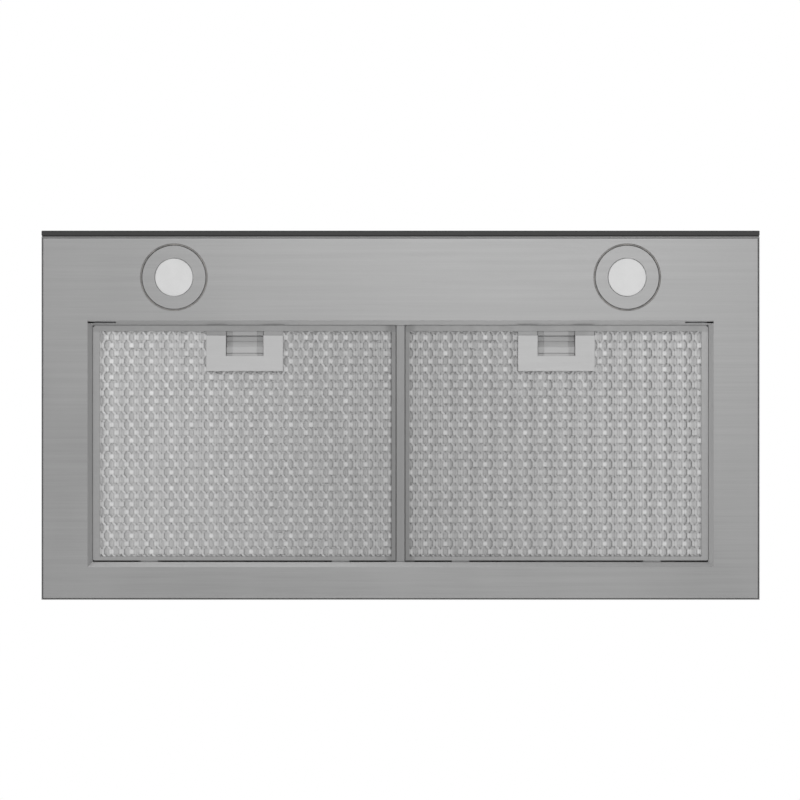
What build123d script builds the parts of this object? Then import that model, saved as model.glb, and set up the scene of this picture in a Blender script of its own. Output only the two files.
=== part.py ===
from build123d import *
import math
import os

# A wall-mounted T-shape range hood: a flat canopy with two grease filters below a slim chimney.
# All sizes are in millimetres. The wall is the plane Y = 0 and the room lies towards -Y. The origin
# is the middle of the canopy's lower rear edge, so heights count from the underside.

# Canopy
hood_width = 898
canopy_depth = 454
canopy_height = 70
canopy_skin = 1.0
canopy_edge_radius = 1.5
glass_thickness = 6
glass_edge = 0.6
carrier_thickness = 1.7
carrier_inset = 3

# Underside panel, its filter recess and its lamps
panel_gap = 0.3
panel_flange = 12
recess_side_border = 57.5
recess_depth = 308.3
recess_to_wall = 41
rim_rise = 6.2
corner_slot_length = 35
corner_slot_width = 1.8
corner_slot_inset = 1.4
lamp_to_side = 165.5
lamp_to_wall = 403.4
lamp_bezel_radius = 40.4
lamp_bezel_ease = 1.1
lamp_bezel_back = 2.5
lamp_seat_depth = 1.5
lamp_seat_gap = 1.8
lamp_hole_radius = 37.5
lamp_can_radius = 35
lamp_can_height = 25
lamp_lens_radius = 23.5
lamp_bezel_inner_ease = 0.8
lamp_lens_setback = 0.8
lamp_clip_width = 10
lamp_clip_sheet = 0.8

# Grease filters
filter_height = 9
filter_sheet = 0.8
filter_drop = 0.8
filter_side_gap = 1.1
filter_front_gap = 1.0
filter_rear_gap = 1.5
rail_half_width = 5.2
rail_gap = 1.0
rail_drop = 1.2
rail_flange = 13
border_outer = 7.2
border_inner = 5.0
border_front = 6.0
border_rear = 5.0
mesh_columns = 9
mesh_rows = 7
mesh_strand = 4
back_mesh_columns = 5
back_mesh_rows = 4
core_pitch = 25
core_sheet = 0.5
tab_width = 22
tab_length = 6.4
tab_spacing = 240
stop_rail_foot = 13
stop_rail_reach = 9

# Filter latches
latch_plate_width = 96
latch_plate_depth = 44.4
latch_plate_setback = 5.6
latch_plate_proud = 2.8
latch_sheet = 1.2
pocket_width = 47
pocket_depth = 25.4
well_length = 6.6
slope_length = 8.2
grip_length = 6.6
lip_step = 0.8
slider_width = 31
slider_side_gap = 0.45
slider_travel = 6
slider_tuck = 1.0
wing_set = 0.8
bolt_reach = 6.0
spring_room = 2.9
spring_thickness = 0.4
spring_height = 4

# Blower tower
tower_width = 264
tower_depth = 258
tower_height = 281
tower_sheet = 1.2
tower_flange = 12
tower_lip = 12
support_tab = (-150, -120)
wall_screw_radius = 4.2
wall_screw_spacing_x = 224
wall_screw_spacing_z = 220
wall_screw_middle = 210
safety_screw_radius = 3.2
safety_screw_spacing = 660
safety_screw_height = 40

# Blower
scroll_axis_to_wall = 146
scroll_axis_height = 192
scroll_first_radius = 99
scroll_growth = 10
scroll_wall = 2
scroll_half_width = 85
scroll_outlet = 170
outlet_lip = 6
outlet_lip_thickness = 2.5
inlet_radius = 76
inlet_collar = 7
impeller_radius = 88
impeller_half_width = 70
impeller_disc = 2
impeller_disc_place = 15
impeller_ring = 3
impeller_ring_depth = 15
hub_radius = 14
hub_length = 20
blade_count = 30
blade_depth = 14
blade_thickness = 1.2
blade_bow = 3
shaft_radius = 4
shaft_clearance = 0.06
motor_radius = 46
motor_length = 58
motor_boss_radius = 14
motor_boss = 6
bracket_sheet = 1.5
bracket_arm_width = 16
mount_radius = 7
mount_height = 3
mount_from_inlet = 10
capacitor_radius = 15
capacitor_length = 62
capacitor_height = 150
capacitor_to_wall = 42
clamp_height = 14
clamp_sheet = 1.2
clamp_reach = 4

# Duct outlet
duct_radius = 75
collar_wall = 1.6
collar_height = 54
collar_flange_radius = 84
collar_flange = 2
flap_height = 13
flap_thickness = 1.2
flap_edge_gap = 0.8
flap_seat_width = 3
flap_seat_gap = 0.3
pin_radius = 1.5
pin_clearance = 0.08
knuckle_wall = 1.4
knuckle_length = 18
knuckle_places = (-45, 15)
flap_middle_gap = 4

# Chimney
chimney_width = 310
chimney_depth = 275
chimney_skin = 1.0
chimney_return = 16
chimney_wall_gap = 1.0
lower_cover_height = 420
upper_cover_height = 450
cover_slide_gap = 0.8
upper_cover_rest = 115
vent_slots = 5
vent_length = 80
vent_height = 5
vent_pitch = 10
ceiling_bracket_height = 40
ceiling_bracket_sheet = 1.5
ceiling_bracket_ear = 30
ceiling_bracket_drop = 27
ceiling_bracket_screw_to_wall = 18
ceiling_hole_radius = 3
ceiling_hole_spacing = 120

# Electrics
control_width = 290
control_window = 30
control_depth = 12
control_wall = 1.6
control_ear = 10
control_flange = 6
control_post_radius = 3
control_post_spacing = 133
board_thickness = 1.6
board_border = 4
touch_pads = 5
touch_reach = 6
touch_pad_pitch = 32
terminal_width = 40
terminal_depth = 110
terminal_height = 34
terminal_wall = 1.8
terminal_side = 90
terminal_to_wall = 40
cord_radius = 3.8
gland_hole_radius = 6.6
gland_neck_radius = 6.5
gland_nut_radius = 9
gland_nut_back = 6
gland_collar_radius = 9.5
gland_collar = 5
gland_clamp_radius = 8
gland_clamp = 16
driver_size = (110, 38, 26)
driver_ease = 2
driver_ear = (9, 16, 2)

# General fits
seat_gap = 0.3
screw_radius = 2.0
screw_head_radius = 4.0
screw_head_height = 2.4
screw_hole_gap = 0.2

os.makedirs("parts", exist_ok=True)


def save(node, *pieces):
    """Write a node, each of its pieces a separate solid."""
    solids = [solid for piece in pieces for solid in piece.solids()]
    export_step(Compound(solids), f"parts/{node}.step")


def slab(x, y, z):
    """A block between the low and high limits of each axis."""
    centre = Pos(sum(x) / 2, sum(y) / 2, sum(z) / 2)
    return centre * Box(x[1] - x[0], y[1] - y[0], z[1] - z[0])


def across(outline, x):
    """An outline of (Y, Z) points drawn out along X."""
    face = Plane.YZ.offset(x[0]) * Polygon(*outline, align=None)
    return extrude(face, x[1] - x[0], dir=(1, 0, 0))


def along(outline, y):
    """An outline of (X, Z) points drawn out along Y."""
    face = Plane.XZ.offset(-y[0]) * Polygon(*outline, align=None)
    return extrude(face, y[1] - y[0], dir=(0, 1, 0))


def upward(outline, z):
    """An outline of (X, Y) points drawn out along Z."""
    face = Plane.XY.offset(z[0]) * Polygon(*outline, align=None)
    return extrude(face, z[1] - z[0], dir=(0, 0, 1))


def rod_x(y, z, radius, x):
    """A round bar along X."""
    return extrude(Plane.YZ.offset(x[0]) * Pos(y, z) * Circle(radius), x[1] - x[0])


def rod_y(x, z, radius, y):
    """A round bar along Y."""
    return extrude(Plane.XZ.offset(-y[1]) * Pos(x, z) * Circle(radius), y[1] - y[0])


def rod_z(x, y, radius, z):
    """A round bar along Z."""
    return extrude(Plane.XY.offset(z[0]) * Pos(x, y) * Circle(radius), z[1] - z[0])


def turned(outline):
    """A body of revolution about Z from (radius, height) points."""
    return revolve(Plane.XZ * Polygon(*outline, align=None), Axis.Z)


def ribbon(points, thickness):
    """The closed outline of a bent strip, mitred at its bends, from its centre line."""
    line = [Vector(*point) for point in points]
    steps = [(end - start).normalized() for start, end in zip(line, line[1:])]
    normals = [Vector(-step.Y, step.X) for step in steps]
    left, right = [], []
    for place, point in enumerate(line):
        before = normals[max(place - 1, 0)]
        after = normals[min(place, len(normals) - 1)]
        mitre = (before + after) * (1 / (1 + before.dot(after)))
        left.append(point + mitre * (thickness / 2))
        right.append(point - mitre * (thickness / 2))
    return [(point.X, point.Y) for point in left + right[::-1]]


def both_sides(piece):
    """A piece and its mirror image on the other side of the hood."""
    return piece, mirror(piece, about=Plane.YZ)


half_width = hood_width / 2
canopy_top = canopy_height
canopy_front = -canopy_depth
glass_back = canopy_front - carrier_thickness
glass_front = glass_back - glass_thickness
recess_rear = -recess_to_wall
recess_front = recess_rear - recess_depth
recess_half = half_width - recess_side_border
lamp_x = half_width - lamp_to_side
lamp_seat_radius = lamp_bezel_radius + lamp_seat_gap
tower_half = tower_width / 2
tower_top = canopy_top + tower_height
tower_front = -tower_depth
control_low = (canopy_height - control_window) / 2
control_high = (canopy_height + control_window) / 2


def hex_screw(place, turn=Rot(0, 0, 0), length=5):
    """A hexagon head screw whose head stands on a place and whose shank goes below it."""
    head = extrude(RegularPolygon(screw_head_radius, 6), screw_head_height)
    shank = extrude(Circle(screw_radius), -length)
    return Pos(*place) * turn * (head + shank)


def canopy_shell():
    """The folded steel box, open below, with its way up to the blower and its fascia window."""
    outside = slab((-half_width, half_width), (canopy_front, 0), (0, canopy_top))
    top_edges = outside.edges().filter_by(GeomType.LINE).group_by(Axis.Z)[-1]
    outside = fillet(top_edges, canopy_edge_radius)
    inside = slab(
        (-half_width + canopy_skin, half_width - canopy_skin),
        (canopy_front + canopy_skin, -canopy_skin),
        (-1, canopy_top - canopy_skin),
    )
    shell = outside - inside
    shell -= slab(
        (-tower_half + tower_sheet, tower_half - tower_sheet),
        (tower_front + tower_sheet, -tower_sheet),
        (canopy_top - 5, canopy_top + 5),
    )
    shell -= slab(
        (-control_width / 2, control_width / 2),
        (canopy_front - 1, canopy_front + 5),
        (control_low, control_high),
    )
    for side in (-1, 1):
        x = side * safety_screw_spacing / 2
        shell -= rod_y(x, safety_screw_height, safety_screw_radius, (-5, 1))
    return shell


def frustum(half_x, y, z, lean):
    """A block whose four sides lean inwards by lean over its height."""
    low = Plane.XY.offset(z[0]) * Pos(0, sum(y) / 2) * Rectangle(2 * half_x, y[1] - y[0])
    high = Plane.XY.offset(z[1]) * Pos(0, sum(y) / 2)
    return loft([low, high * Rectangle(2 * (half_x - lean), y[1] - y[0] - 2 * lean)])


def underside_panel():
    """The brushed panel seen from below, with turned-up edges and a sloped recess rim."""
    side = half_width - canopy_skin - panel_gap
    front = canopy_front + canopy_skin + panel_gap
    rear = -canopy_skin - panel_gap
    panel = slab((-side, side), (front, rear), (0, panel_flange))
    low_edges = panel.edges().filter_by(GeomType.LINE).group_by(Axis.Z)[0]
    panel = fillet(low_edges, canopy_edge_radius)
    panel -= slab(
        (-side + canopy_skin, side - canopy_skin),
        (front + canopy_skin, rear - canopy_skin),
        (canopy_skin, panel_flange + 1),
    )
    panel -= slab((-recess_half, recess_half), (recess_front, recess_rear), (-1, 2))
    slant = canopy_skin * math.sqrt(2)
    y = (recess_front, recess_rear)
    wide = (recess_front - slant, recess_rear + slant)
    rim = frustum(recess_half + slant, wide, (0, rim_rise), rim_rise)
    rim -= frustum(recess_half, y, (0, rim_rise), rim_rise)
    panel += rim
    slot_y = recess_front + corner_slot_inset
    for side in (-1, 1):
        at = (side * lamp_x, -lamp_to_wall)
        panel += rod_z(*at, lamp_seat_radius + canopy_skin, (0, lamp_seat_depth + canopy_skin))
        panel -= rod_z(*at, lamp_seat_radius, (-1, lamp_seat_depth))
        panel -= rod_z(*at, lamp_hole_radius, (-1, lamp_seat_depth + canopy_skin + 1))
        slot = sorted((side * (recess_half - corner_slot_length), side * recess_half))
        panel -= slab(slot, (slot_y, slot_y + corner_slot_width), (-1, rim_rise + 1))
    return panel


def front_glass():
    """The black glass fascia with eased edges."""
    glass = slab((-half_width, half_width), (glass_front, glass_back), (0, canopy_top))
    return chamfer(glass.edges().group_by(Axis.Y)[0], glass_edge)


def fascia_carrier():
    """The strip that bonds the glass to the canopy, open at the touch window."""
    edge = half_width - carrier_inset
    strip = slab(
        (-edge, edge), (glass_back, canopy_front), (carrier_inset, canopy_top - carrier_inset)
    )
    return strip - slab(
        (-control_width / 2, control_width / 2),
        (glass_back - 1, canopy_front + 1),
        (control_low, control_high),
    )


def control_housing():
    """The tray behind the touch window, with a flange against the canopy and board posts."""
    wall = control_wall
    inner_face = canopy_front + canopy_skin
    back = inner_face + control_depth
    half = control_width / 2
    flange = slab(
        (-half - control_ear, half + control_ear),
        (inner_face, inner_face + wall),
        (control_low - control_flange, control_high + control_flange),
    )
    body = slab((-half, half), (inner_face, back), (control_low, control_high))
    tray = flange + body
    tray -= slab(
        (-half + wall, half - wall),
        (inner_face - 1, back - wall),
        (control_low + wall, control_high - wall),
    )
    for x in (-control_post_spacing, 0, control_post_spacing):
        tray += rod_y(x, canopy_height / 2, control_post_radius, (inner_face, back - wall))
    return tray


def touch_board():
    """The board of the touch control with its sensing pads against the glass."""
    board_back = canopy_front + canopy_skin - seat_gap
    half = control_width / 2 - board_border
    board = slab(
        (-half, half),
        (board_back - board_thickness, board_back),
        (control_low + board_border, control_high - board_border),
    )
    pad_face = (glass_back + seat_gap, board_back - board_thickness)
    pad_z = (canopy_height / 2 - touch_reach, canopy_height / 2 + touch_reach)
    for step in range(-(touch_pads // 2), touch_pads // 2 + 1):
        x = step * touch_pad_pitch
        board += slab((x - touch_reach, x + touch_reach), pad_face, pad_z)
    return board


def lamp(side):
    """One lamp: the turned bezel, the lens, the can above the panel and its two clips."""
    at = Pos(side * lamp_x, -lamp_to_wall, 0)
    hole = lamp_lens_radius + seat_gap
    back = lamp_seat_depth + lamp_bezel_back
    bezel = turned(
        [
            (hole, lamp_bezel_inner_ease),
            (hole + lamp_bezel_inner_ease, 0),
            (lamp_bezel_radius - lamp_bezel_ease, 0),
            (lamp_bezel_radius, lamp_bezel_ease),
            (lamp_bezel_radius, lamp_seat_depth),
            (lamp_can_radius, lamp_seat_depth),
            (lamp_can_radius, back),
            (hole, back),
        ]
    )
    lens = rod_z(0, 0, lamp_lens_radius, (lamp_lens_setback, back))
    can = rod_z(0, 0, lamp_can_radius, (back, lamp_can_height))
    beside_can = lamp_can_radius + lamp_clip_sheet / 2 + 0.1
    foot = lamp_seat_depth + canopy_skin + lamp_clip_sheet / 2 + 0.25
    spring = ribbon(
        [
            (beside_can, lamp_can_height - 4),
            (beside_can, lamp_can_height / 2),
            (beside_can + 5.5, foot),
            (beside_can + 8.5, foot + 2.4),
        ],
        lamp_clip_sheet,
    )
    clip = along(spring, (-lamp_clip_width / 2, lamp_clip_width / 2))
    clips = [clip, mirror(clip, about=Plane.YZ)]
    return at * bezel, at * lens, at * can, [at * piece for piece in clips]


rim_top = rim_rise
filter_low = rim_top - filter_drop
filter_top = filter_low + filter_height
filter_inner = rail_half_width + rail_gap
filter_outer = recess_half - rim_rise - filter_side_gap
filter_front = recess_front + rim_rise + filter_front_gap
filter_rear = recess_rear - rim_rise - filter_rear_gap
window_x = (filter_inner + border_inner, filter_outer - border_outer)
window_y = (filter_front + border_front, filter_rear - border_rear)
cavity_x = (filter_inner + filter_sheet, filter_outer - filter_sheet)
cavity_y = (filter_front + filter_sheet, filter_rear - filter_sheet)
latch_x = (filter_inner + filter_outer) / 2
latch_front = filter_front + border_front + latch_plate_setback
latch_rear = latch_front + latch_plate_depth
pocket_rear = latch_front + pocket_depth
slider_rear = pocket_rear + slider_tuck
cup_rear = slider_rear + slider_travel + spring_room
cup_low = filter_low - latch_plate_proud + latch_sheet
cup_top = filter_top - filter_sheet - seat_gap
bolt_low = rim_top + seat_gap
bolt_slot_top = bolt_low + latch_sheet + seat_gap
cup_half = pocket_width / 2 + latch_sheet
stop_low = filter_top + seat_gap
stop_high = stop_low + canopy_skin


def latch_void(z):
    """The space that a filter's sheets and core leave for the latch and its bolt."""
    half = cup_half + seat_gap
    return slab(
        (latch_x - half, latch_x + half), (cavity_y[0] - 1, cup_rear + latch_sheet + seat_gap), z
    )


def filter_frame():
    """The folded aluminium channel round a filter, with the bolt slot and rear tabs."""
    frame = slab((filter_inner, filter_outer), (filter_front, filter_rear), (filter_low, filter_top))
    frame -= slab(cavity_x, cavity_y, (filter_low + filter_sheet, filter_top - filter_sheet))
    frame -= slab(window_x, window_y, (filter_low - 1, filter_top + 1))
    slot = slider_width / 2 + slider_side_gap
    frame -= slab(
        (latch_x - slot, latch_x + slot),
        (filter_front - 1, cavity_y[0] + 1),
        (filter_low + filter_sheet, bolt_slot_top),
    )
    for place in (-1, 1):
        x = latch_x + place * tab_spacing / 2
        frame += slab(
            (x - tab_width / 2, x + tab_width / 2),
            (cavity_y[1], filter_rear + tab_length),
            (rim_top + seat_gap, rim_top + seat_gap + latch_sheet),
        )
    return frame


def mesh_outline():
    """The outline of a filter's sheets: the channel's inside, notched for the latch."""
    low_x, high_x = cavity_x[0] + seat_gap, cavity_x[1] - seat_gap
    low_y, high_y = cavity_y[0] + seat_gap, cavity_y[1] - seat_gap
    notch = cup_half + seat_gap
    notch_rear = cup_rear + latch_sheet + seat_gap
    return [
        (low_x, low_y),
        (latch_x - notch, low_y),
        (latch_x - notch, notch_rear),
        (latch_x + notch, notch_rear),
        (latch_x + notch, low_y),
        (high_x, low_y),
        (high_x, high_y),
        (low_x, high_y),
    ]


def expanded_sheet(columns, rows, strand, z):
    """A sheet with staggered diamond openings, as one holed face drawn out along Z."""
    reach_x = window_x[1] - window_x[0]
    reach_y = window_y[1] - window_y[0]
    pitch_x = reach_x / columns
    pitch_y = reach_y / rows
    edge_distance = pitch_x / 2 * pitch_y / math.hypot(pitch_x / 2, pitch_y)
    share = 1 - strand / 2 / edge_distance
    half_x = share * pitch_x / 2
    half_y = share * pitch_y
    openings = []
    for row in range(1, rows):
        for column in range(columns):
            x = window_x[0] + (column + (0.5 if row % 2 else 1)) * pitch_x
            y = window_y[0] + row * pitch_y
            near_latch = abs(x - latch_x) < cup_half + half_x + strand
            near_latch = near_latch and y - half_y < cup_rear + 2 * strand
            if x + half_x < window_x[1] and not near_latch:
                openings.append([(x - half_x, y), (x, y + half_y), (x + half_x, y), (x, y - half_y)])
    holes = [Wire.make_polygon(points) for points in openings]
    face = Face(Wire.make_polygon(mesh_outline()), holes)
    return Pos(0, 0, z[0]) * extrude(face, z[1] - z[0], dir=(0, 0, 1))


def filter_core():
    """The wavy aluminium layer between the two sheets of a filter."""
    low = filter_low + 2 * filter_sheet + seat_gap + core_sheet
    high = filter_top - 2 * filter_sheet - seat_gap - core_sheet
    count = round((cavity_x[1] - cavity_x[0]) / core_pitch) * 2
    step = (cavity_x[1] - cavity_x[0] - 2) / count
    wave = [(cavity_x[0] + 1 + place * step, high if place % 2 else low) for place in range(count + 1)]
    core = along(ribbon(wave, core_sheet), (cavity_y[0] + seat_gap, cavity_y[1] - seat_gap))
    return core - latch_void((filter_low, filter_top))


def latch_plate():
    """The plate that shows on the filter, with skirts to the sheet and a cup behind the pocket."""
    half = latch_plate_width / 2
    low = filter_low - latch_plate_proud
    mesh_low = filter_low + filter_sheet
    plate = slab((latch_x - half, latch_x + half), (latch_front, latch_rear), (low, mesh_low))
    plate -= slab(
        (latch_x - half + latch_sheet, latch_x + half - latch_sheet),
        (latch_front + latch_sheet, latch_rear - latch_sheet),
        (cup_low, mesh_low + 1),
    )
    cup = slab(
        (latch_x - cup_half, latch_x + cup_half), (latch_front, cup_rear + latch_sheet), (low, cup_top)
    )
    plate += cup
    plate -= slab(
        (latch_x - pocket_width / 2, latch_x + pocket_width / 2),
        (latch_front - 1, cup_rear),
        (cup_low, cup_top - latch_sheet),
    )
    plate -= slab(
        (latch_x - pocket_width / 2, latch_x + pocket_width / 2),
        (latch_front - 1, pocket_rear),
        (low - 1, cup_low + 1),
    )
    return plate


slider_half = pocket_width / 2 - slider_side_gap
well_height = cup_top - 1.5 * latch_sheet - seat_gap - wing_set
grip_height = cup_low + latch_sheet / 2 + seat_gap
bolt_middle = bolt_low + latch_sheet / 2
bolt_tip = filter_front - bolt_reach


def slider_profile(front, raised):
    """The slider's side outline: a flat tab, the finger well, its slope, the grip strip and the lip."""
    well = latch_front + well_length
    slope = well + slope_length
    grip = slope + grip_length
    line = [
        (front, bolt_middle),
        (latch_front - latch_sheet / 2, bolt_middle),
        (latch_front + latch_sheet / 2, well_height),
        (well, well_height),
        (slope, grip_height),
        (grip, grip_height),
        (grip + lip_step, grip_height + lip_step),
        (slider_rear, grip_height + lip_step),
        (slider_rear, well_height),
    ]
    return ribbon([(y, z + raised) for y, z in line], latch_sheet)


def latch_slider():
    """The sliding grip: a strip that ends in the bolt, between two wings that the cup guides."""
    middle = slider_width / 2
    slider = across(slider_profile(bolt_tip, 0), (latch_x - middle, latch_x + middle))
    wing = slider_profile(cavity_y[0] + seat_gap, wing_set)
    for side in (-1, 1):
        x = sorted((latch_x + side * middle, latch_x + side * slider_half))
        slider += across(wing, x)
    return slider


def latch_spring():
    """The bow-shaped leaf spring between the grip and the cup's rear wall."""
    half = slider_half - 3
    ends = cup_rear - seat_gap
    crown = slider_rear + latch_sheet / 2 + seat_gap
    arcs = []
    for shift in (0, spring_thickness):
        start = (latch_x - half, ends - spring_thickness + shift)
        middle = (latch_x, crown + shift)
        end = (latch_x + half, ends - spring_thickness + shift)
        arcs.append(ThreePointArc(start, middle, end))
    sides = [Line(arcs[0] @ 0, arcs[1] @ 0), Line(arcs[0] @ 1, arcs[1] @ 1)]
    low = grip_height + lip_step + latch_sheet
    return Pos(0, 0, low) * extrude(make_face(arcs + sides), spring_height, dir=(0, 0, 1))


def centre_rail():
    """The channel between the filters: its flanges carry over both, its foot is on the panel."""
    bottom = rim_top + rail_drop
    wall = canopy_skin
    rear = recess_rear + 2 * wall
    front = recess_front - 3 * wall
    rail = slab((-rail_half_width, rail_half_width), (front, rear), (bottom, stop_low))
    rail -= slab(
        (-rail_half_width + wall, rail_half_width - wall), (front - 1, rear + 1), (bottom + wall, stop_high)
    )
    leg_end = recess_front + rim_rise + stop_rail_reach
    half = rail_half_width + rail_flange
    for side in (-1, 1):
        flange = sorted((side * (rail_half_width - wall), side * half))
        rail += slab(flange, (leg_end, rear), (stop_low, stop_high))
    rail += slab((-half, half), (rear - wall, rear), (canopy_skin, stop_high))
    rail += slab((-half, half), (rear - wall, rear + stop_rail_foot), (canopy_skin, 2 * canopy_skin))
    return rail


def filter_stop_rail():
    """The folded rail on the panel that the filters close against, notched at the lamp seats."""
    wall_y = recess_front - 3 * canopy_skin
    half = recess_half - rim_rise
    rail = slab((-half, half), (wall_y - canopy_skin, wall_y), (canopy_skin, stop_high))
    reach = recess_front + rim_rise + stop_rail_reach
    rail += slab((-half, half), (wall_y - canopy_skin, reach), (stop_low, stop_high))
    rail += slab((-half, half), (wall_y - stop_rail_foot, wall_y), (canopy_skin, 2 * canopy_skin))
    clear = lamp_seat_radius + canopy_skin + seat_gap
    for side in (-1, 1):
        rail -= rod_z(side * lamp_x, -lamp_to_wall, clear, (0, stop_low))
    return rail


cover_inside = chimney_width / 2 - chimney_skin
upper_half = cover_inside - cover_slide_gap
upper_front = -chimney_depth + chimney_skin + cover_slide_gap
upper_rear = -chimney_wall_gap - chimney_skin - cover_slide_gap
flange_rear = upper_rear - chimney_skin - seat_gap
support_top = upper_cover_rest - seat_gap
support_reach = cover_inside - seat_gap
scroll_right = scroll_first_radius + 2.5 * scroll_growth
duct_y = -scroll_axis_to_wall + scroll_right - scroll_outlet / 2
scroll_top = tower_top - tower_sheet - seat_gap - scroll_axis_height


def blower_tower():
    """The folded box that carries the blower, open below and in front."""
    tower = slab((-tower_half, tower_half), (tower_front, 0), (canopy_top, tower_top))
    tower -= slab(
        (-tower_half + tower_sheet, tower_half - tower_sheet),
        (tower_front - 1, -tower_sheet),
        (canopy_top - 1, tower_top - tower_sheet),
    )
    for side in (-1, 1):
        flange = sorted((side * (tower_half - tower_sheet), side * (tower_half + tower_flange)))
        tower += slab(flange, (tower_front, flange_rear), (canopy_top, canopy_top + tower_sheet))
        lip = sorted((side * tower_half, side * (tower_half - tower_lip)))
        tower += slab(lip, (tower_front, tower_front + tower_sheet), (canopy_top, tower_top))
        tab = sorted((side * (tower_half - tower_sheet), side * support_reach))
        tower += slab(tab, support_tab, (support_top - tower_sheet, support_top))
    tower -= rod_z(0, duct_y, duct_radius - collar_wall, (tower_top - 5, tower_top + 1))
    for x in (-1, 1):
        for z in (-1, 1):
            place_x = x * wall_screw_spacing_x / 2
            place_z = wall_screw_middle + z * wall_screw_spacing_z / 2
            tower -= rod_y(place_x, place_z, wall_screw_radius, (-5, 1))
    return tower


def tower_cover():
    """The plate that closes the front of the tower, with a foot on the canopy."""
    y = (tower_front - tower_sheet, tower_front)
    cover = slab((-tower_half, tower_half), y, (canopy_top, tower_top))
    foot_y = (tower_front - tower_flange, tower_front)
    cover += slab((-tower_half, tower_half), foot_y, (canopy_top, canopy_top + tower_sheet))
    return cover


def scroll_face(grow):
    """The scroll's side outline about the impeller axis: three quarter arcs on a small square."""
    half = scroll_growth / 2
    first = scroll_first_radius + grow
    right = scroll_right + grow
    left = scroll_right - scroll_outlet - grow
    start = math.degrees(math.acos((left + half) / first))
    tip = first * math.sin(math.radians(start)) - half
    arcs = [
        CenterArc((-half, -half), first, start, 180 - start),
        CenterArc((half, -half), first + scroll_growth, 180, 90),
        CenterArc((half, half), first + 2 * scroll_growth, 270, 90),
    ]
    walls = [
        Line((right, half), (right, scroll_top)),
        Line((right, scroll_top), (left, scroll_top)),
        Line((left, scroll_top), (left, tip)),
    ]
    return Pos(-scroll_axis_to_wall, scroll_axis_height) * make_face(arcs + walls)


def drawn_x(face, x):
    """A face in (Y, Z) drawn out along X."""
    return extrude(Plane.YZ.offset(x[0]) * face, x[1] - x[0], dir=(1, 0, 0))


def scroll_half():
    """One half of the blower scroll with its inlet collar and outlet lip."""
    inside, outside = scroll_face(0), scroll_face(scroll_wall)
    side_low = scroll_half_width - scroll_wall
    axis = (-scroll_axis_to_wall, scroll_axis_height)
    half = drawn_x(outside, (0, scroll_half_width)) - drawn_x(inside, (-1, side_low))
    top = scroll_axis_height + scroll_top
    y = (
        duct_y - scroll_outlet / 2 - scroll_wall - outlet_lip,
        duct_y + scroll_outlet / 2 + scroll_wall + outlet_lip,
    )
    half += slab((0, scroll_half_width + outlet_lip), y, (top - outlet_lip_thickness, top))
    half -= drawn_x(inside, (-1, side_low))
    half += rod_x(*axis, inlet_radius + scroll_wall, (side_low - inlet_collar, side_low))
    half -= rod_x(*axis, inlet_radius, (side_low - inlet_collar - 1, scroll_half_width + 1))
    return half


def turned_x(outline):
    """A body of revolution about the impeller axis from (radius, X) points."""
    return Pos(0, -scroll_axis_to_wall, scroll_axis_height) * Rot(0, 90, 0) * turned(outline)


def impeller():
    """The double inlet wheel: forward-curved blades, two end rings, a centre disc and its hub."""
    inner = impeller_radius - blade_depth
    line = [(inner, 0), (inner + blade_depth / 2, -blade_bow), (impeller_radius - 0.4, blade_bow / 2)]
    blade = Polygon(*ribbon(line, blade_thickness), align=None)
    axis = Pos(-scroll_axis_to_wall, scroll_axis_height)
    edge = impeller_half_width
    wheel = []
    for place in range(blade_count):
        turn = Rot(0, 0, 360 / blade_count * place)
        wheel.append(drawn_x(axis * turn * blade, (impeller_ring - edge, edge - impeller_ring)))
    inside = impeller_radius - impeller_ring_depth
    for low, high in ((-edge, -edge + impeller_ring), (edge - impeller_ring, edge)):
        outline = [(inside, low), (impeller_radius, low), (impeller_radius, high), (inside, high)]
        wheel.append(turned_x(outline))
    low = impeller_disc_place - hub_length / 2
    high = impeller_disc_place + hub_length / 2
    disc_low = impeller_disc_place - impeller_disc / 2
    disc_high = impeller_disc_place + impeller_disc / 2
    disc = turned_x(
        [
            (shaft_radius, low),
            (hub_radius, low),
            (hub_radius, disc_low),
            (impeller_radius, disc_low),
            (impeller_radius, disc_high),
            (hub_radius, disc_high),
            (hub_radius, high),
            (shaft_radius, high),
        ]
    )
    return disc + wheel


motor_high = impeller_disc_place - hub_length / 2 - 4 - motor_boss
motor_low = motor_high - motor_length


def motor_body():
    """The motor inside the left half of the wheel, with its two bearing bosses."""
    bore = shaft_radius + shaft_clearance
    return turned_x(
        [
            (bore, motor_low - motor_boss),
            (motor_boss_radius, motor_low - motor_boss),
            (motor_boss_radius, motor_low),
            (motor_radius, motor_low),
            (motor_radius, motor_high),
            (motor_boss_radius, motor_high),
            (motor_boss_radius, motor_high + motor_boss),
            (bore, motor_high + motor_boss),
        ]
    )


def motor_shaft():
    """The shaft through both bearings and the hub."""
    x = (motor_low - motor_boss - 4, impeller_disc_place + hub_length / 2 + 2)
    return rod_x(-scroll_axis_to_wall, scroll_axis_height, shaft_radius, x)


bracket_foot = -scroll_half_width - mount_height
arm_places = (90, 210, 330)


def motor_bracket():
    """The three-armed bracket from the motor's end to the scroll's side."""
    plate = turned_x(
        [
            (motor_boss_radius, motor_low - bracket_sheet),
            (motor_radius - 10, motor_low - bracket_sheet),
            (motor_radius - 10, motor_low),
            (motor_boss_radius, motor_low),
        ]
    )
    middle = motor_low - bracket_sheet / 2
    outer = bracket_foot - bracket_sheet / 2
    arm_line = [
        (middle, motor_radius - 2 * mount_radius),
        (middle, motor_radius + 4),
        (outer, inlet_radius - 10),
        (outer, inlet_radius + mount_from_inlet + mount_radius + 1),
    ]
    arm = ribbon(arm_line, bracket_sheet)
    for place in arm_places:
        half = bracket_arm_width / 2
        turn = Pos(0, -scroll_axis_to_wall, scroll_axis_height) * Rot(place - 90, 0, 0)
        plate += turn * along(arm, (-half, half))
    return plate


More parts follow.
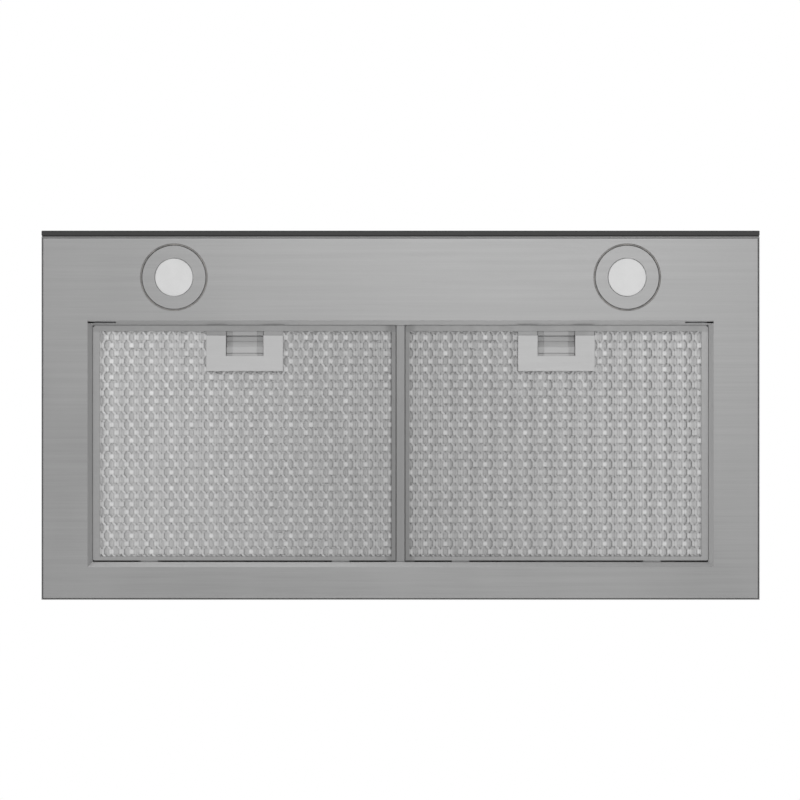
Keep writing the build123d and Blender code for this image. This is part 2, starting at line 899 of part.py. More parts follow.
def motor_mounts():
    """The rubber mounts between the bracket's feet and the scroll."""
    turn = Pos(0, -scroll_axis_to_wall, scroll_axis_height)
    x = (bracket_foot, -scroll_half_width)
    return [
        turn * Rot(place - 90, 0, 0) * rod_x(0, inlet_radius + mount_from_inlet, mount_radius, x)
        for place in arm_places
    ]


capacitor_at = (tower_half - tower_sheet - capacitor_radius - clamp_reach, -capacitor_to_wall)


def capacitor():
    """The motor's run capacitor."""
    return rod_z(*capacitor_at, capacitor_radius, (capacitor_height, capacitor_height + capacitor_length))


def capacitor_clamp():
    """The band that holds the capacitor to the tower's side."""
    x, y = capacitor_at
    middle = capacitor_height + capacitor_length / 2
    z = (middle - clamp_height / 2, middle + clamp_height / 2)
    wall = tower_half - tower_sheet
    foot = clamp_height
    clamp = rod_z(x, y, capacitor_radius + clamp_sheet, z)
    clamp += slab((x, wall), (y - clamp_reach, y + clamp_reach), z)
    clamp += slab((wall - clamp_sheet, wall), (y - foot, y + foot), z)
    return clamp - rod_z(x, y, capacitor_radius, z)


pin_height = tower_top + flap_height
collar_inside = duct_radius - collar_wall


def outlet_collar():
    """The round collar that the duct goes over, with a seat for the flaps."""
    seat_top = pin_height - flap_thickness / 2 - flap_seat_gap
    collar = turned(
        [
            (collar_inside, tower_top),
            (collar_flange_radius, tower_top),
            (collar_flange_radius, tower_top + collar_flange),
            (duct_radius, tower_top + collar_flange),
            (duct_radius, tower_top + collar_height),
            (collar_inside, tower_top + collar_height),
            (collar_inside, seat_top),
            (collar_inside - flap_seat_width, seat_top),
            (collar_inside, seat_top - flap_seat_width),
        ]
    )
    return Pos(0, duct_y, 0) * collar - rod_x(
        duct_y, pin_height, pin_radius, (-duct_radius - 1, duct_radius + 1)
    )


def flap_pin():
    """The pin across the collar that both flaps hang on."""
    return rod_x(duct_y, pin_height, pin_radius, (-duct_radius, duct_radius))


def flap(side):
    """One half-moon flap with two knuckles round the pin, on the +Y or -Y side."""
    radius = collar_inside - flap_edge_gap
    edge = math.sqrt(radius**2 - flap_middle_gap**2)
    straight = Line((-edge, flap_middle_gap), (edge, flap_middle_gap))
    rim = ThreePointArc((edge, flap_middle_gap), (0, radius), (-edge, flap_middle_gap))
    plate = extrude(make_face([straight, rim]), flap_thickness / 2, both=True)
    bore = pin_radius + pin_clearance
    for place in knuckle_places:
        x = (place - knuckle_length / 2, place + knuckle_length / 2)
        plate += rod_x(0, 0, bore + knuckle_wall, x)
        plate += slab(x, (0, flap_middle_gap + 1), (-flap_thickness / 2, flap_thickness / 2))
        plate -= rod_x(0, 0, bore, (x[0] - 1, x[1] + 1))
    turn = Rot(0, 0, 0) if side > 0 else Rot(0, 0, 180)
    return Pos(0, duct_y, pin_height) * turn * plate


def cover_outline(half, front, rear):
    """The centre line of a chimney cover: two returns, two sides and the front."""
    middle = chimney_skin / 2
    inner = chimney_width / 2 - chimney_return
    return [
        (-inner, rear - middle),
        (-half + middle, rear - middle),
        (-half + middle, front + middle),
        (half - middle, front + middle),
        (half - middle, rear - middle),
        (inner, rear - middle),
    ]


def lower_cover():
    """The fixed chimney cover that stands on the canopy."""
    outline = cover_outline(chimney_width / 2, -chimney_depth, -chimney_wall_gap)
    low = canopy_top + seat_gap
    return upward(ribbon(outline, chimney_skin), (low, canopy_top + lower_cover_height))


upper_top = upper_cover_rest + upper_cover_height
bracket_middle = upper_top - ceiling_bracket_drop
bracket_low = bracket_middle - ceiling_bracket_height / 2
bracket_high = bracket_middle + ceiling_bracket_height / 2
bracket_half = upper_half - chimney_skin - seat_gap
bracket_screw_y = -ceiling_bracket_screw_to_wall


def upper_cover():
    """The sliding chimney cover with vent slots near its top."""
    outline = cover_outline(upper_half, upper_front, upper_rear)
    cover = upward(ribbon(outline, chimney_skin), (upper_cover_rest, upper_top))
    inside = upper_half - chimney_skin
    cover -= slab((-inside, inside), (upper_rear - 2, upper_rear + 1), (bracket_low - 10, upper_top + 1))
    for place in range(vent_slots):
        z = upper_top - 18 - place * vent_pitch
        slot = Pos(-chimney_depth / 2, z) * Rectangle(vent_length, vent_height)
        cover -= drawn_x(slot, (-chimney_width, chimney_width))
    return cover - rod_x(bracket_screw_y, bracket_middle, screw_radius + screw_hole_gap, (-200, 200))


def ceiling_bracket():
    """The bracket that holds the upper cover's top to the wall, with two wall holes."""
    middle = ceiling_bracket_sheet / 2
    edge = bracket_half - middle
    line = [(-edge, -ceiling_bracket_ear), (-edge, -middle), (edge, -middle), (edge, -ceiling_bracket_ear)]
    bracket = upward(ribbon(line, ceiling_bracket_sheet), (bracket_low, bracket_high))
    for side in (-1, 1):
        x = side * ceiling_hole_spacing / 2
        bracket -= rod_y(x, bracket_middle, ceiling_hole_radius, (-5, 1))
    return bracket - rod_x(bracket_screw_y, bracket_middle, screw_radius + screw_hole_gap, (-200, 200))


def bracket_screws():
    """The two screws from the upper cover's sides into the bracket's ears."""
    place = (upper_half, bracket_screw_y, bracket_middle)
    right = hex_screw(place, Rot(0, 90, 0), 4)
    return both_sides(right)


terminal_x = (terminal_side, terminal_side + terminal_width)
terminal_y = (-terminal_to_wall - terminal_depth, -terminal_to_wall)
terminal_top = tower_top + terminal_height
gland_at = (sum(terminal_x) / 2, tower_top + terminal_height / 2)


def terminal_box():
    """The open tray on the tower for the mains terminals."""
    wall = terminal_wall
    box = slab(terminal_x, terminal_y, (tower_top, terminal_top))
    box -= slab(
        (terminal_x[0] + wall, terminal_x[1] - wall),
        (terminal_y[0] + wall, terminal_y[1] - wall),
        (tower_top + wall, terminal_top + 1),
    )
    return box - rod_y(*gland_at, gland_hole_radius, (terminal_y[1] - 5, terminal_y[1] + 1))


def terminal_cover():
    """The lid of the terminal box."""
    lid = slab(terminal_x, terminal_y, (terminal_top, terminal_top + terminal_wall))
    return chamfer(lid.edges().group_by(Axis.Z)[-1], 1)


def cable_gland():
    """The gland in the terminal box: an inner nut, a collar and a domed clamp round its bore."""
    outline = [
        (cord_radius, -gland_nut_back),
        (gland_nut_radius, -gland_nut_back),
        (gland_nut_radius, -terminal_wall),
        (gland_neck_radius, -terminal_wall),
        (gland_neck_radius, 0),
        (gland_collar_radius, 0),
        (gland_collar_radius, gland_collar),
        (gland_clamp_radius, gland_collar),
        (gland_clamp_radius, gland_clamp),
        (cord_radius, gland_clamp),
    ]
    x, z = gland_at
    return Pos(x, terminal_y[1], z) * Rot(-90, 0, 0) * turned(outline)


def lamp_driver():
    """The lamp driver on the panel between the lamps."""
    length, depth, height = driver_size
    middle = -lamp_to_wall - 4
    z = (canopy_skin, canopy_skin + height)
    body = slab((-length / 2, length / 2), (middle - depth / 2, middle + depth / 2), z)
    body = chamfer(body.edges().group_by(Axis.Z)[-1], driver_ease)
    reach, width, sheet = driver_ear
    ears = slab(
        (-length / 2 - reach, length / 2 + reach),
        (middle - width / 2, middle + width / 2),
        (z[0], z[0] + sheet),
    )
    return body + ears


save("canopy_shell", canopy_shell())
save("underside_panel", underside_panel())
save("front_glass", front_glass())
save("fascia_carrier", fascia_carrier())
save("control_housing", control_housing())
save("touch_board", touch_board())

for label, side in (("left", -1), ("right", 1)):
    bezel, lens, can, clips = lamp(side)
    save(f"lamp_bezel_{label}", bezel)
    save(f"lamp_lens_{label}", lens)
    save(f"lamp_can_{label}", can)
    save(f"lamp_clips_{label}", *clips)

mesh_low = filter_low + filter_sheet
mesh_high = filter_top - filter_sheet
filter_pieces = {
    "filter_frame": filter_frame(),
    "filter_mesh": expanded_sheet(mesh_columns, mesh_rows, mesh_strand, (mesh_low, mesh_low + filter_sheet)),
    "filter_core": filter_core(),
    "filter_back_mesh": expanded_sheet(
        back_mesh_columns, back_mesh_rows, mesh_strand, (mesh_high - filter_sheet, mesh_high)
    ),
    "latch_plate": latch_plate(),
    "latch_slider": latch_slider(),
    "latch_spring": latch_spring(),
}
for node, piece in filter_pieces.items():
    right, left = both_sides(piece)
    save(f"{node}_right", right)
    save(f"{node}_left", left)

save("centre_rail", centre_rail())
save("filter_stop_rail", filter_stop_rail())
save("blower_tower", blower_tower())
save("tower_cover", tower_cover())

scroll_right_half, scroll_left_half = both_sides(scroll_half())
save("scroll_right_half", scroll_right_half)
save("scroll_left_half", scroll_left_half)
save("impeller", impeller())
save("motor_body", motor_body())
save("motor_shaft", motor_shaft())
save("motor_bracket", motor_bracket())
save("motor_mounts", *motor_mounts())
save("capacitor", capacitor())
save("capacitor_clamp", capacitor_clamp())

save("outlet_collar", outlet_collar())
save("flap_pin", flap_pin())
save("flap_rear", flap(1))
save("flap_front", flap(-1))

save("lower_chimney_cover", lower_cover())
save("upper_chimney_cover", upper_cover())
save("ceiling_bracket", ceiling_bracket())
save("bracket_screws", *bracket_screws())

save("terminal_box", terminal_box())
save("terminal_cover", terminal_cover())
save("cable_gland", cable_gland())
save("lamp_driver", lamp_driver())
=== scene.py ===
"""A brushed steel T-shape range hood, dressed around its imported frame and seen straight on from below.

Lengths are in metres in the frame's own axes: Z is up, the wall is the plane Y = 0, the room lies
towards -Y, and Z = 0 is the underside of the canopy.
"""

import logging
import math
from abc import ABC, abstractmethod
from collections.abc import Iterable, Mapping, Sequence
from dataclasses import dataclass, replace
from enum import Enum
from functools import cached_property
from typing import TypeAlias

import bmesh
import bpy
from mathutils import Matrix, Vector


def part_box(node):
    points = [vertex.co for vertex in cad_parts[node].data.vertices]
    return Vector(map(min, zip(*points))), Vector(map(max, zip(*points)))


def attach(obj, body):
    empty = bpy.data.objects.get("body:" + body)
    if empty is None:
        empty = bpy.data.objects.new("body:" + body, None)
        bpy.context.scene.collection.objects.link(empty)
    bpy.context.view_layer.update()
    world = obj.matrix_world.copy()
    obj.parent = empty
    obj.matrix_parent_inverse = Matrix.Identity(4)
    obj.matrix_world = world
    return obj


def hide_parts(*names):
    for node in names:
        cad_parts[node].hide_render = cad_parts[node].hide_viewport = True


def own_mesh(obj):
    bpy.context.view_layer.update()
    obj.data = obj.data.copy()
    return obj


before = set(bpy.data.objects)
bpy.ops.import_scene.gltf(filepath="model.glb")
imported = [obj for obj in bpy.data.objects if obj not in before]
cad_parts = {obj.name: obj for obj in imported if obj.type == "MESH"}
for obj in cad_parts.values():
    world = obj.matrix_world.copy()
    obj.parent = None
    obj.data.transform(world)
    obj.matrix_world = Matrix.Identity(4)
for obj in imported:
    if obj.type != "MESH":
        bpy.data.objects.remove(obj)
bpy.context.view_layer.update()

LOG = logging.getLogger("hood")

Colour: TypeAlias = tuple[float, float, float, float]
Number: TypeAlias = "Value | float"
Size: TypeAlias = "float | tuple[float, float, float]"
Link: TypeAlias = "Value | bpy.types.NodeSocket | float | Colour | tuple[float, float, float]"


def grey(level: float, warmth: float = 0.0) -> Colour:
    """A near-neutral colour of a linear level, with red above blue by the warmth's share of it."""
    return (level * (1 + warmth / 2), level, level * (1 - warmth / 2), 1.0)


NOISE_SPREAD = (0.3, 0.7)
EDGE_SAMPLES = 4
MIX_FIRST, MIX_SECOND, MIX_RESULT = 6, 7, 2  # the places of a Mix node's colour sockets
HASH_FACTORS = (12.9898, 78.233, 37.719)
HASH_SPREAD = 43758.5453
# the grey that painted shade darkens towards, in recesses, along borders and on sideways folds
PAINTED_SHADE_GREY = grey(0.02)


class Side(Enum):
    """One of the two mirrored halves of the hood, seen from the room."""

    LEFT = "left"
    RIGHT = "right"


class Axis(Enum):
    """An axis of the frame, by its place in a vector."""

    X = 0
    Y = 1
    Z = 2


class Value:
    """A number in a shader tree, on which Python's operators add Math nodes."""

    def __init__(self, shader: "Shader", socket: bpy.types.NodeSocket) -> None:
        """Wraps the output that carries the number, in the tree that new nodes go to."""
        self.shader = shader
        self.socket = socket

    def _maths(self, operation: str, first: Number, second: Number) -> "Value":
        """Adds one Math node and gives its result."""
        node = self.shader.node("ShaderNodeMath", {"operation": operation}, {0: first, 1: second})
        return Value(self.shader, node.outputs[0])

    def __add__(self, other: Number) -> "Value":
        """The sum."""
        return self._maths("ADD", self, other)

    def __radd__(self, other: Number) -> "Value":
        """The sum, from the right."""
        return self._maths("ADD", other, self)

    def __sub__(self, other: Number) -> "Value":
        """The difference."""
        return self._maths("SUBTRACT", self, other)

    def __rsub__(self, other: Number) -> "Value":
        """The difference, from the right."""
        return self._maths("SUBTRACT", other, self)

    def __mul__(self, other: Number) -> "Value":
        """The product."""
        return self._maths("MULTIPLY", self, other)

    def __rmul__(self, other: Number) -> "Value":
        """The product, from the right."""
        return self._maths("MULTIPLY", other, self)

    def __pow__(self, other: Number) -> "Value":
        """The power."""
        return self._maths("POWER", self, other)

    def __gt__(self, other: Number) -> "Value":
        """One where this is the greater, else zero."""
        return self._maths("GREATER_THAN", self, other)

    def __lt__(self, other: Number) -> "Value":
        """One where this is the smaller, else zero."""
        return self._maths("LESS_THAN", self, other)

    def __abs__(self) -> "Value":
        """The size without its sign."""
        return self._maths("ABSOLUTE", self, 0.0)


class Shader:
    """The node tree of a material or a world, with coordinates in the object's own metres."""

    def __init__(self, tree: bpy.types.NodeTree) -> None:
        """Empties the tree of a material or of the world, to build in it."""
        self.tree = tree
        tree.nodes.clear()

    def node(
        self,
        kind: str,
        settings: Mapping[str, object] | None = None,
        inputs: Mapping[str | int, Link] | None = None,
    ) -> bpy.types.Node:
        """Adds a node.

        Args:
            kind: The node's type.
            settings: Its own properties, set before its sockets.
            inputs: A value or a link for each of its sockets.

        Returns:
            The node.
        """
        made = self.tree.nodes.new(kind)
        for name, setting in (settings or {}).items():
            setattr(made, name, setting)
        for name, value in (inputs or {}).items():
            if isinstance(value, Value):
                value = value.socket
            if isinstance(value, bpy.types.NodeSocket):
                self.tree.links.new(value, made.inputs[name])
            else:
                made.inputs[name].default_value = value
        return made

    @cached_property
    def coordinates(self) -> bpy.types.Node:
        """The node that gives the piece's own coordinates and normal."""
        return self.node("ShaderNodeTexCoord")

    def _part(self, output: str, axis: Axis) -> Value:
        """One axis of an output of the coordinates' node."""
        parts = self.node("ShaderNodeSeparateXYZ", {}, {0: self.coordinates.outputs[output]})
        return Value(self, parts.outputs[axis.value])

    def place(self, axis: Axis) -> Value:
        """The point's place along an axis."""
        return self._part("Object", axis)

    def facing(self, axis: Axis) -> Value:
        """How far the surface faces along an axis, from -1 to 1."""
        return self._part("Normal", axis)

    def drawn(self, size: Size) -> bpy.types.NodeSocket:
        """Coordinates for a pattern.

        Args:
            size: The pattern's size, one for all axes or one for each.

        Returns:
            The coordinates, counted in that size.
        """
        lengths = size if isinstance(size, tuple) else (size,) * 3
        inputs = {0: self.coordinates.outputs["Object"], 1: tuple(1 / length for length in lengths)}
        return self.node("ShaderNodeVectorMath", {"operation": "MULTIPLY"}, inputs).outputs[0]

    def noise(self, size: Size, detail: float = 2.0) -> Value:
        """Soft noise.

        Args:
            size: About how large its patches are.
            detail: How many finer layers it has.

        Returns:
            The noise, spread from 0 to 1.
        """
        inputs = {"Vector": self.drawn(size), "Scale": 1.0, "Detail": detail}
        noise = Value(self, self.node("ShaderNodeTexNoise", {}, inputs).outputs[0])
        return self.step(noise, *NOISE_SPREAD)

    def wrapped(self, value: Number, pitch: float) -> Value:
        """How far a number is from the nearest multiple of a pitch, with its sign."""
        limits = {0: value, 1: pitch / 2, 2: -pitch / 2}
        return Value(self, self.node("ShaderNodeMath", {"operation": "WRAP"}, limits).outputs[0])

    def cells(self, size: float, feature: str = "F1") -> bpy.types.Node:
        """Grains of about a size, whose Distance output measures the feature."""
        inputs = {"Vector": self.drawn(size), "Scale": 1.0}
        return self.node("ShaderNodeTexVoronoi", {"feature": feature}, inputs)

    def step(self, value: Number, low: float, high: float) -> Value:
        """A smooth rise from 0 to 1.

        Args:
            value: The number that it follows.
            low: Where it leaves 0.
            high: Where it reaches 1.

        Returns:
            The rise.
        """
        inputs = {"Value": value, "From Min": low, "From Max": high}
        node = self.node("ShaderNodeMapRange", {"interpolation_type": "SMOOTHSTEP"}, inputs)
        return Value(self, node.outputs["Result"])

    def mixed(self, share: Number, first: Link, second: Link) -> bpy.types.NodeSocket:
        """The first colour turning into the second as the share goes from 0 to 1."""
        inputs = {0: share, MIX_FIRST: first, MIX_SECOND: second}
        return self.node("ShaderNodeMix", {"data_type": "RGBA"}, inputs).outputs[MIX_RESULT]

    def toned(
        self, tone: Number, level: float, contrast: float, warmth: float = 0.0
    ) -> bpy.types.NodeSocket:
        """A grey that goes from below its level to above it, by the contrast's share, as the tone rises."""
        return self.mixed(tone, grey(level * (1 - contrast), warmth), grey(level * (1 + contrast), warmth))

    def relief(self, height: Value, depth: float, edge_radius: float = 0.0) -> bpy.types.NodeSocket:
        """A surface normal with relief.

        Args:
            height: The relief, from 0 to 1.
            depth: How deep it is.
            edge_radius: How round the piece's edges look.

        Returns:
            The normal.
        """
        inputs = {"Height": height, "Distance": depth}
        if edge_radius:
            rounded = self.node("ShaderNodeBevel", {"samples": EDGE_SAMPLES}, {"Radius": edge_radius})
            inputs["Normal"] = rounded.outputs["Normal"]
        return self.node("ShaderNodeBump", {}, inputs).outputs["Normal"]

    def surface(self, **inputs: Link) -> None:
        """Ends the tree in one shader.

        Args:
            inputs: Its sockets, with an underscore for each space in their names.
        """
        named = {name.replace("_", " "): value for name, value in inputs.items()}
        shader = self.node("ShaderNodeBsdfPrincipled", {}, named)
        self.node("ShaderNodeOutputMaterial", {}, {"Surface": shader.outputs[0]})


MADE: dict[str, bpy.types.Material] = {}


@dataclass(frozen=True)
class Finish(ABC):
    """A named finish that makes its material once and gives it to every piece that wears it."""

    name: str

    @abstractmethod
    def shade(self, shader: Shader) -> None:
        """Builds the finish's nodes in the empty tree of its material."""

    def material(self) -> bpy.types.Material:
        """Makes the finish's material when it is first asked for.

        Returns:
            The finish's one material.
        """
        if self.name not in MADE:
            MADE[self.name] = bpy.data.materials.new(self.name)
            MADE[self.name].use_nodes = True
            self.shade(Shader(MADE[self.name].node_tree))
        return MADE[self.name]


@dataclass(frozen=True)
class PaintedShade:
    """Painted shade: a grey that darkens a colour along an axis, alike on both sides of the hood's middle.

    Where it leaves the colour clear and where it is darkest are distances from its centre, which
    stands on both sides of the origin.
    """

    axis: Axis
    clear_at: float
    darkest_at: float
    strength: float
    centre: float = 0.0

    def over(self, shader: Shader, colour: Link) -> bpy.types.NodeSocket:
        """Lays the painted shade over a colour.

        Args:
            shader: The tree that it goes to.
            colour: The unshaded colour.

        Returns:
            The colour darkened by the painted shade.
        """
        distance = abs(abs(shader.place(self.axis)) - self.centre)
        rise = shader.step(distance, *sorted((self.clear_at, self.darkest_at)))
        share = rise if self.darkest_at > self.clear_at else 1 - rise
        return shader.mixed(share * self.strength, colour, PAINTED_SHADE_GREY)


class Grain(Enum):
    """How a steel sheet was brushed. A folded one runs along X, and along Y on its two ends."""

    WIDTH = Axis.X
    DEPTH = Axis.Y
    HEIGHT = Axis.Z
    FOLDED = "folded"

    def streak(self, width: float, length: float) -> tuple[float, float, float]:
        """The size of a streak along each axis.

        Args:
            width: Across the grain.
            length: Along the grain.

        Returns:
            X, Y and Z sizes.
        """
        size = [width, width, width]
        size[0 if self is Grain.FOLDED else self.value.value] = length
        return tuple(size)


@dataclass(frozen=True)
class BrushedSteel(Finish):
    """Stainless sheet with fine streaks, a few broad ones, faint clouds, slightly rounded edges and, where
    set, painted shade.
    """

    grain: Grain = Grain.FOLDED
    level: float = 0.385
    contrast: float = 0.10
    roughness: float = 0.36
    roughness_spread: float = 0.10
    streak_width: float = 0.0007
    streak_length: float = 0.09
    fine_share: float = 0.4
    broad_share: float = 0.25
    broad_width: float = 9.0
    broad_length: float = 4.5
    cloud: float = 0.16
    streak_depth: float = 0.000006
    edge_radius: float = 0.0006
    end_facing: float = 0.7
    # how much painted shade darkens surfaces that face sideways along X
    side_painted_shade: float = 0.0
    side_facing: tuple[float, float] = (0.3, 0.6)
    painted_shades: tuple[PaintedShade, ...] = ()

    def streaks(self, shader: Shader, width: float, length: float) -> Value:
        """Noise drawn out along the grain.

        Args:
            shader: The tree that it goes to.
            width: A streak's width.
            length: A streak's length.

        Returns:
            The noise, from 0 to 1.
        """
        main = shader.noise(self.grain.streak(width, length))
        if self.grain is not Grain.FOLDED:
            return main
        ends = shader.noise(Grain.DEPTH.streak(width, length))
        on_end = abs(shader.facing(Axis.X)) > self.end_facing
        return main * (1 - on_end) + ends * on_end

    def shade(self, shader: Shader) -> None:
        """Builds the finish's nodes.

        Args:
            shader: The empty tree of its material.
        """
        width, length = self.streak_width, self.streak_length
        fine = self.streaks(shader, width, length)
        broad = self.streaks(shader, width * self.broad_width, length * self.broad_length)
        clouds = shader.noise(self.cloud)
        cloud_share = 1 - self.fine_share - self.broad_share
        tone = self.fine_share * fine + self.broad_share * broad + cloud_share * clouds
        colour = shader.toned(tone, self.level, self.contrast)
        # painted shade on surfaces that face sideways along X
        if self.side_painted_shade:
            sideways = shader.step(abs(shader.facing(Axis.X)), *self.side_facing)
            colour = shader.mixed(sideways * self.side_painted_shade, colour, PAINTED_SHADE_GREY)
        # painted shade, where set
        for painted_shade in self.painted_shades:
            colour = painted_shade.over(shader, colour)
        shader.surface(
            Base_Color=colour,
            Metallic=1.0,
            Roughness=self.roughness + self.roughness_spread * (fine - 0.5 + 0.5 * clouds),
            Normal=shader.relief(fine, self.streak_depth, self.edge_radius),
        )


@dataclass(frozen=True)
class BareAluminium(Finish):
    """Rolled aluminium: fine rolling lines along X, dull patches and small bright rubs."""

    level: float = 0.39
    contrast: float = 0.06
    roughness: float = 0.42
    line_width: float = 0.0004
    line_length: float = 0.03
    line_share: float = 0.3
    line_roughness: float = 0.06
    patch: float = 0.03
    patch_detail: float = 3.0
    patch_share: float = 0.4
    patch_roughness: float = 0.12
    rub: float = 0.004
    depth: float = 0.00001
    edge_radius: float = 0.0003
    painted_shades: tuple[PaintedShade, ...] = ()

    def with_painted_highlight(self, shader: Shader, colour: Link) -> Link:
        """Where a kind of aluminium gets a painted highlight: nowhere on plain sheet."""
        return colour

    def shade(self, shader: Shader) -> None:
        """Builds the finish's nodes.

        Args:
            shader: The empty tree of its material.
        """
        lines = shader.noise((self.line_length, self.line_width, self.line_width))
        patches = shader.noise(self.patch, self.patch_detail)
        rub_share = 1 - self.line_share - self.patch_share
        tone = self.line_share * lines + self.patch_share * patches + rub_share * shader.noise(self.rub)
        colour = self.with_painted_highlight(shader, shader.toned(tone, self.level, self.contrast))
        # painted shade, where set
        for painted_shade in self.painted_shades:
            colour = painted_shade.over(shader, colour)
        uneven = self.patch_roughness * (patches - 0.5) + self.line_roughness * (lines - 0.5)
        shader.surface(
            Base_Color=colour,
            Metallic=1.0,
            Roughness=self.roughness + uneven,
            Normal=shader.relief(lines, self.depth, self.edge_radius),
        )


@dataclass(frozen=True)
class Lattice:
    """The staggered grid of an expanded sheet's bonds, with a bond at the origin, and its wave."""

    short_way: float = 0.0125
    long_way: float = 0.0199
    wave_pitch: float = 0.0248
    crest: float = 0.0086


LATTICE = Lattice()


@dataclass(frozen=True)
class HighlitMesh(BareAluminium):
    """Expanded aluminium with a painted highlight on its bonds, strongest on the crests of its pressed wave
    and varied at random.
    """

    lattice: Lattice = LATTICE
    # the level of the painted highlight on the bonds
    bright: float = 0.80
    dot_width: float = 0.0064
    dot_length: float = 0.0076
    dot_core: float = 0.05
    trough: float = 0.25
    highlight_variation_size: float = 0.014
    least_highlight: float = 0.5

    def with_painted_highlight(self, shader: Shader, colour: Link) -> Link:
        """The colour with a painted highlight on its bonds.

        Args:
            shader: The tree that it goes to.
            colour: The plain sheet's colour.

        Returns:
            The colour with the painted highlight.
        """
        across, along = shader.place(Axis.X), shader.place(Axis.Y)
        column = across * (1 / self.lattice.short_way)
        row = along * (1 / self.lattice.long_way)
        rising = shader.wrapped(column + row, 1.0)
        falling = shader.wrapped(column - row, 1.0)
        from_x = (rising + falling) * (self.lattice.short_way / self.dot_width)
        from_y = (rising - falling) * (self.lattice.long_way / self.dot_length)
        dots = 1 - shader.step(from_x * from_x + from_y * from_y, self.dot_core, 1.0)
        turn = (across - self.lattice.crest) * (2 * math.pi / self.lattice.wave_pitch)
        wave = Value(shader, shader.node("ShaderNodeMath", {"operation": "COSINE"}, {0: turn}).outputs[0])
        crest = 0.5 + 0.5 * wave
        # painted highlight on each bond, strongest on the wave's crests, its strength varied at random
        highlight_variation = self.least_highlight + (1 - self.least_highlight) * shader.noise(self.highlight_variation_size)
        share = dots * highlight_variation * (self.trough + (1 - self.trough) * crest)
        return shader.mixed(share, colour, grey(self.bright))


@dataclass(frozen=True)
class ZincSteel(Finish):
    """Zinc-coated sheet with crystal patches that each take the light in their own way."""

    level: float = 0.38
    contrast: float = 0.30
    warmth: float = -0.03
    roughness: float = 0.34
    crystal: float = 0.012
    crystal_share: float = 0.6
    crystal_roughness: float = 0.18
    patch: float = 0.05
    patch_detail: float = 4.0
    patch_roughness: float = 0.1
    depth: float = 0.00003
    edge_radius: float = 0.0006

    def shade(self, shader: Shader) -> None:
        """Builds the finish's nodes.

        Args:
            shader: The empty tree of its material.
        """
        flash = shader.node("ShaderNodeSeparateColor", {}, {0: shader.cells(self.crystal).outputs["Color"]})
        own = Value(shader, flash.outputs[0])
        frost = shader.noise(self.patch, self.patch_detail)
        tone = self.crystal_share * own + (1 - self.crystal_share) * frost
        uneven = self.crystal_roughness * own + self.patch_roughness * (frost - 0.5)
        shader.surface(
            Base_Color=shader.toned(tone, self.level, self.contrast, self.warmth),
            Metallic=1.0,
            Roughness=self.roughness + uneven,
            Normal=shader.relief(own, self.depth, self.edge_radius),
        )


@dataclass(frozen=True)
class GrainySkin(Finish):
    """An even stuff with a fine grain, which also stands in relief, and broader patches.

    Its roughness is that of the smoothest place, to which grain and patches add theirs.
    """

    dark: Colour
    light: Colour
    roughness: float
    grain: Size
    patch: Size
    depth: float
    grain_detail: float = 3.0
    grain_share: float = 0.4
    grain_roughness: float = 0.0
    patch_detail: float = 3.0
    patch_roughness: float = 0.0
    edge_radius: float = 0.0
    metallic: float = 0.0
    coat: float = 0.0
    coat_roughness: float = 0.15

    def shade(self, shader: Shader) -> None:
        """Builds the finish's nodes.

        Args:
            shader: The empty tree of its material.
        """
        grain = shader.noise(self.grain, self.grain_detail)
        patches = shader.noise(self.patch, self.patch_detail)
        tone = self.grain_share * grain + (1 - self.grain_share) * patches
        shader.surface(
            Base_Color=shader.mixed(tone, self.dark, self.light),
            Metallic=self.metallic,
            Roughness=self.roughness + self.grain_roughness * grain + self.patch_roughness * patches,
            Coat_Weight=self.coat,
            Coat_Roughness=self.coat_roughness,
            Normal=shader.relief(grain, self.depth, self.edge_radius),
        )


@dataclass(frozen=True)
class BlackGlass(Finish):
    """Back-painted glass: deep black, ground edges, faint dust and a row of rings where it is touched."""

    level: float = 0.006
    roughness: float = 0.05
    ground_level: float = 0.03
    ground_roughness: float = 0.4
    ground_facing: float = 0.7
    dust: float = 0.0006
    dust_detail: float = 4.0
    dust_depth: float = 0.000002
    wipe_length: float = 0.09
    wipe_height: float = 0.0225
    wipe_detail: float = 3.0
    wipe_roughness: float = 0.05
    ring_count: int = 5
    ring_pitch: float = 0.032
    ring_height: float = 0.035
    ring_radius: float = 0.0045
    ring_line: float = 0.0004
    ring_core: float = 0.00024
    ring_level: float = 0.42
    ring_roughness: float = 0.3
    ring_facing: float = -0.9
    edge_radius: float = 0.0005

    def rings(self, shader: Shader) -> Value:
        """The touch marks.

        Args:
            shader: The tree that they go to.

        Returns:
            One on the rings' lines on the front face, else zero.
        """
        across = shader.place(Axis.X)
        reach = self.ring_pitch * self.ring_count / 2
        from_middle = shader.wrapped(across, self.ring_pitch)
        up = shader.place(Axis.Z) - self.ring_height
        distance = (from_middle * from_middle + up * up) ** 0.5
        line = 1 - shader.step(abs(distance - self.ring_radius), self.ring_core, self.ring_line)
        return line * (abs(across) < reach) * (shader.facing(Axis.Y) < self.ring_facing)

    def shade(self, shader: Shader) -> None:
        """Builds the finish's nodes.

        Args:
            shader: The empty tree of its material.
        """
        dust = shader.noise(self.dust, self.dust_detail)
        wipes = shader.noise((self.wipe_length, self.wipe_length, self.wipe_height), self.wipe_detail)
        marks = self.rings(shader)
        ground = abs(shader.facing(Axis.Y)) < self.ground_facing
        uneven = self.wipe_roughness * wipes + self.ring_roughness * marks + self.ground_roughness * ground
        polished = shader.mixed(dust * wipes, grey(self.level), grey(self.level * 2))
        black = shader.mixed(ground, polished, grey(self.ground_level))
        shader.surface(
            Base_Color=shader.mixed(marks, black, grey(self.ring_level)),
            Roughness=self.roughness + uneven,
            Normal=shader.relief(dust * wipes, self.dust_depth, self.edge_radius),
        )


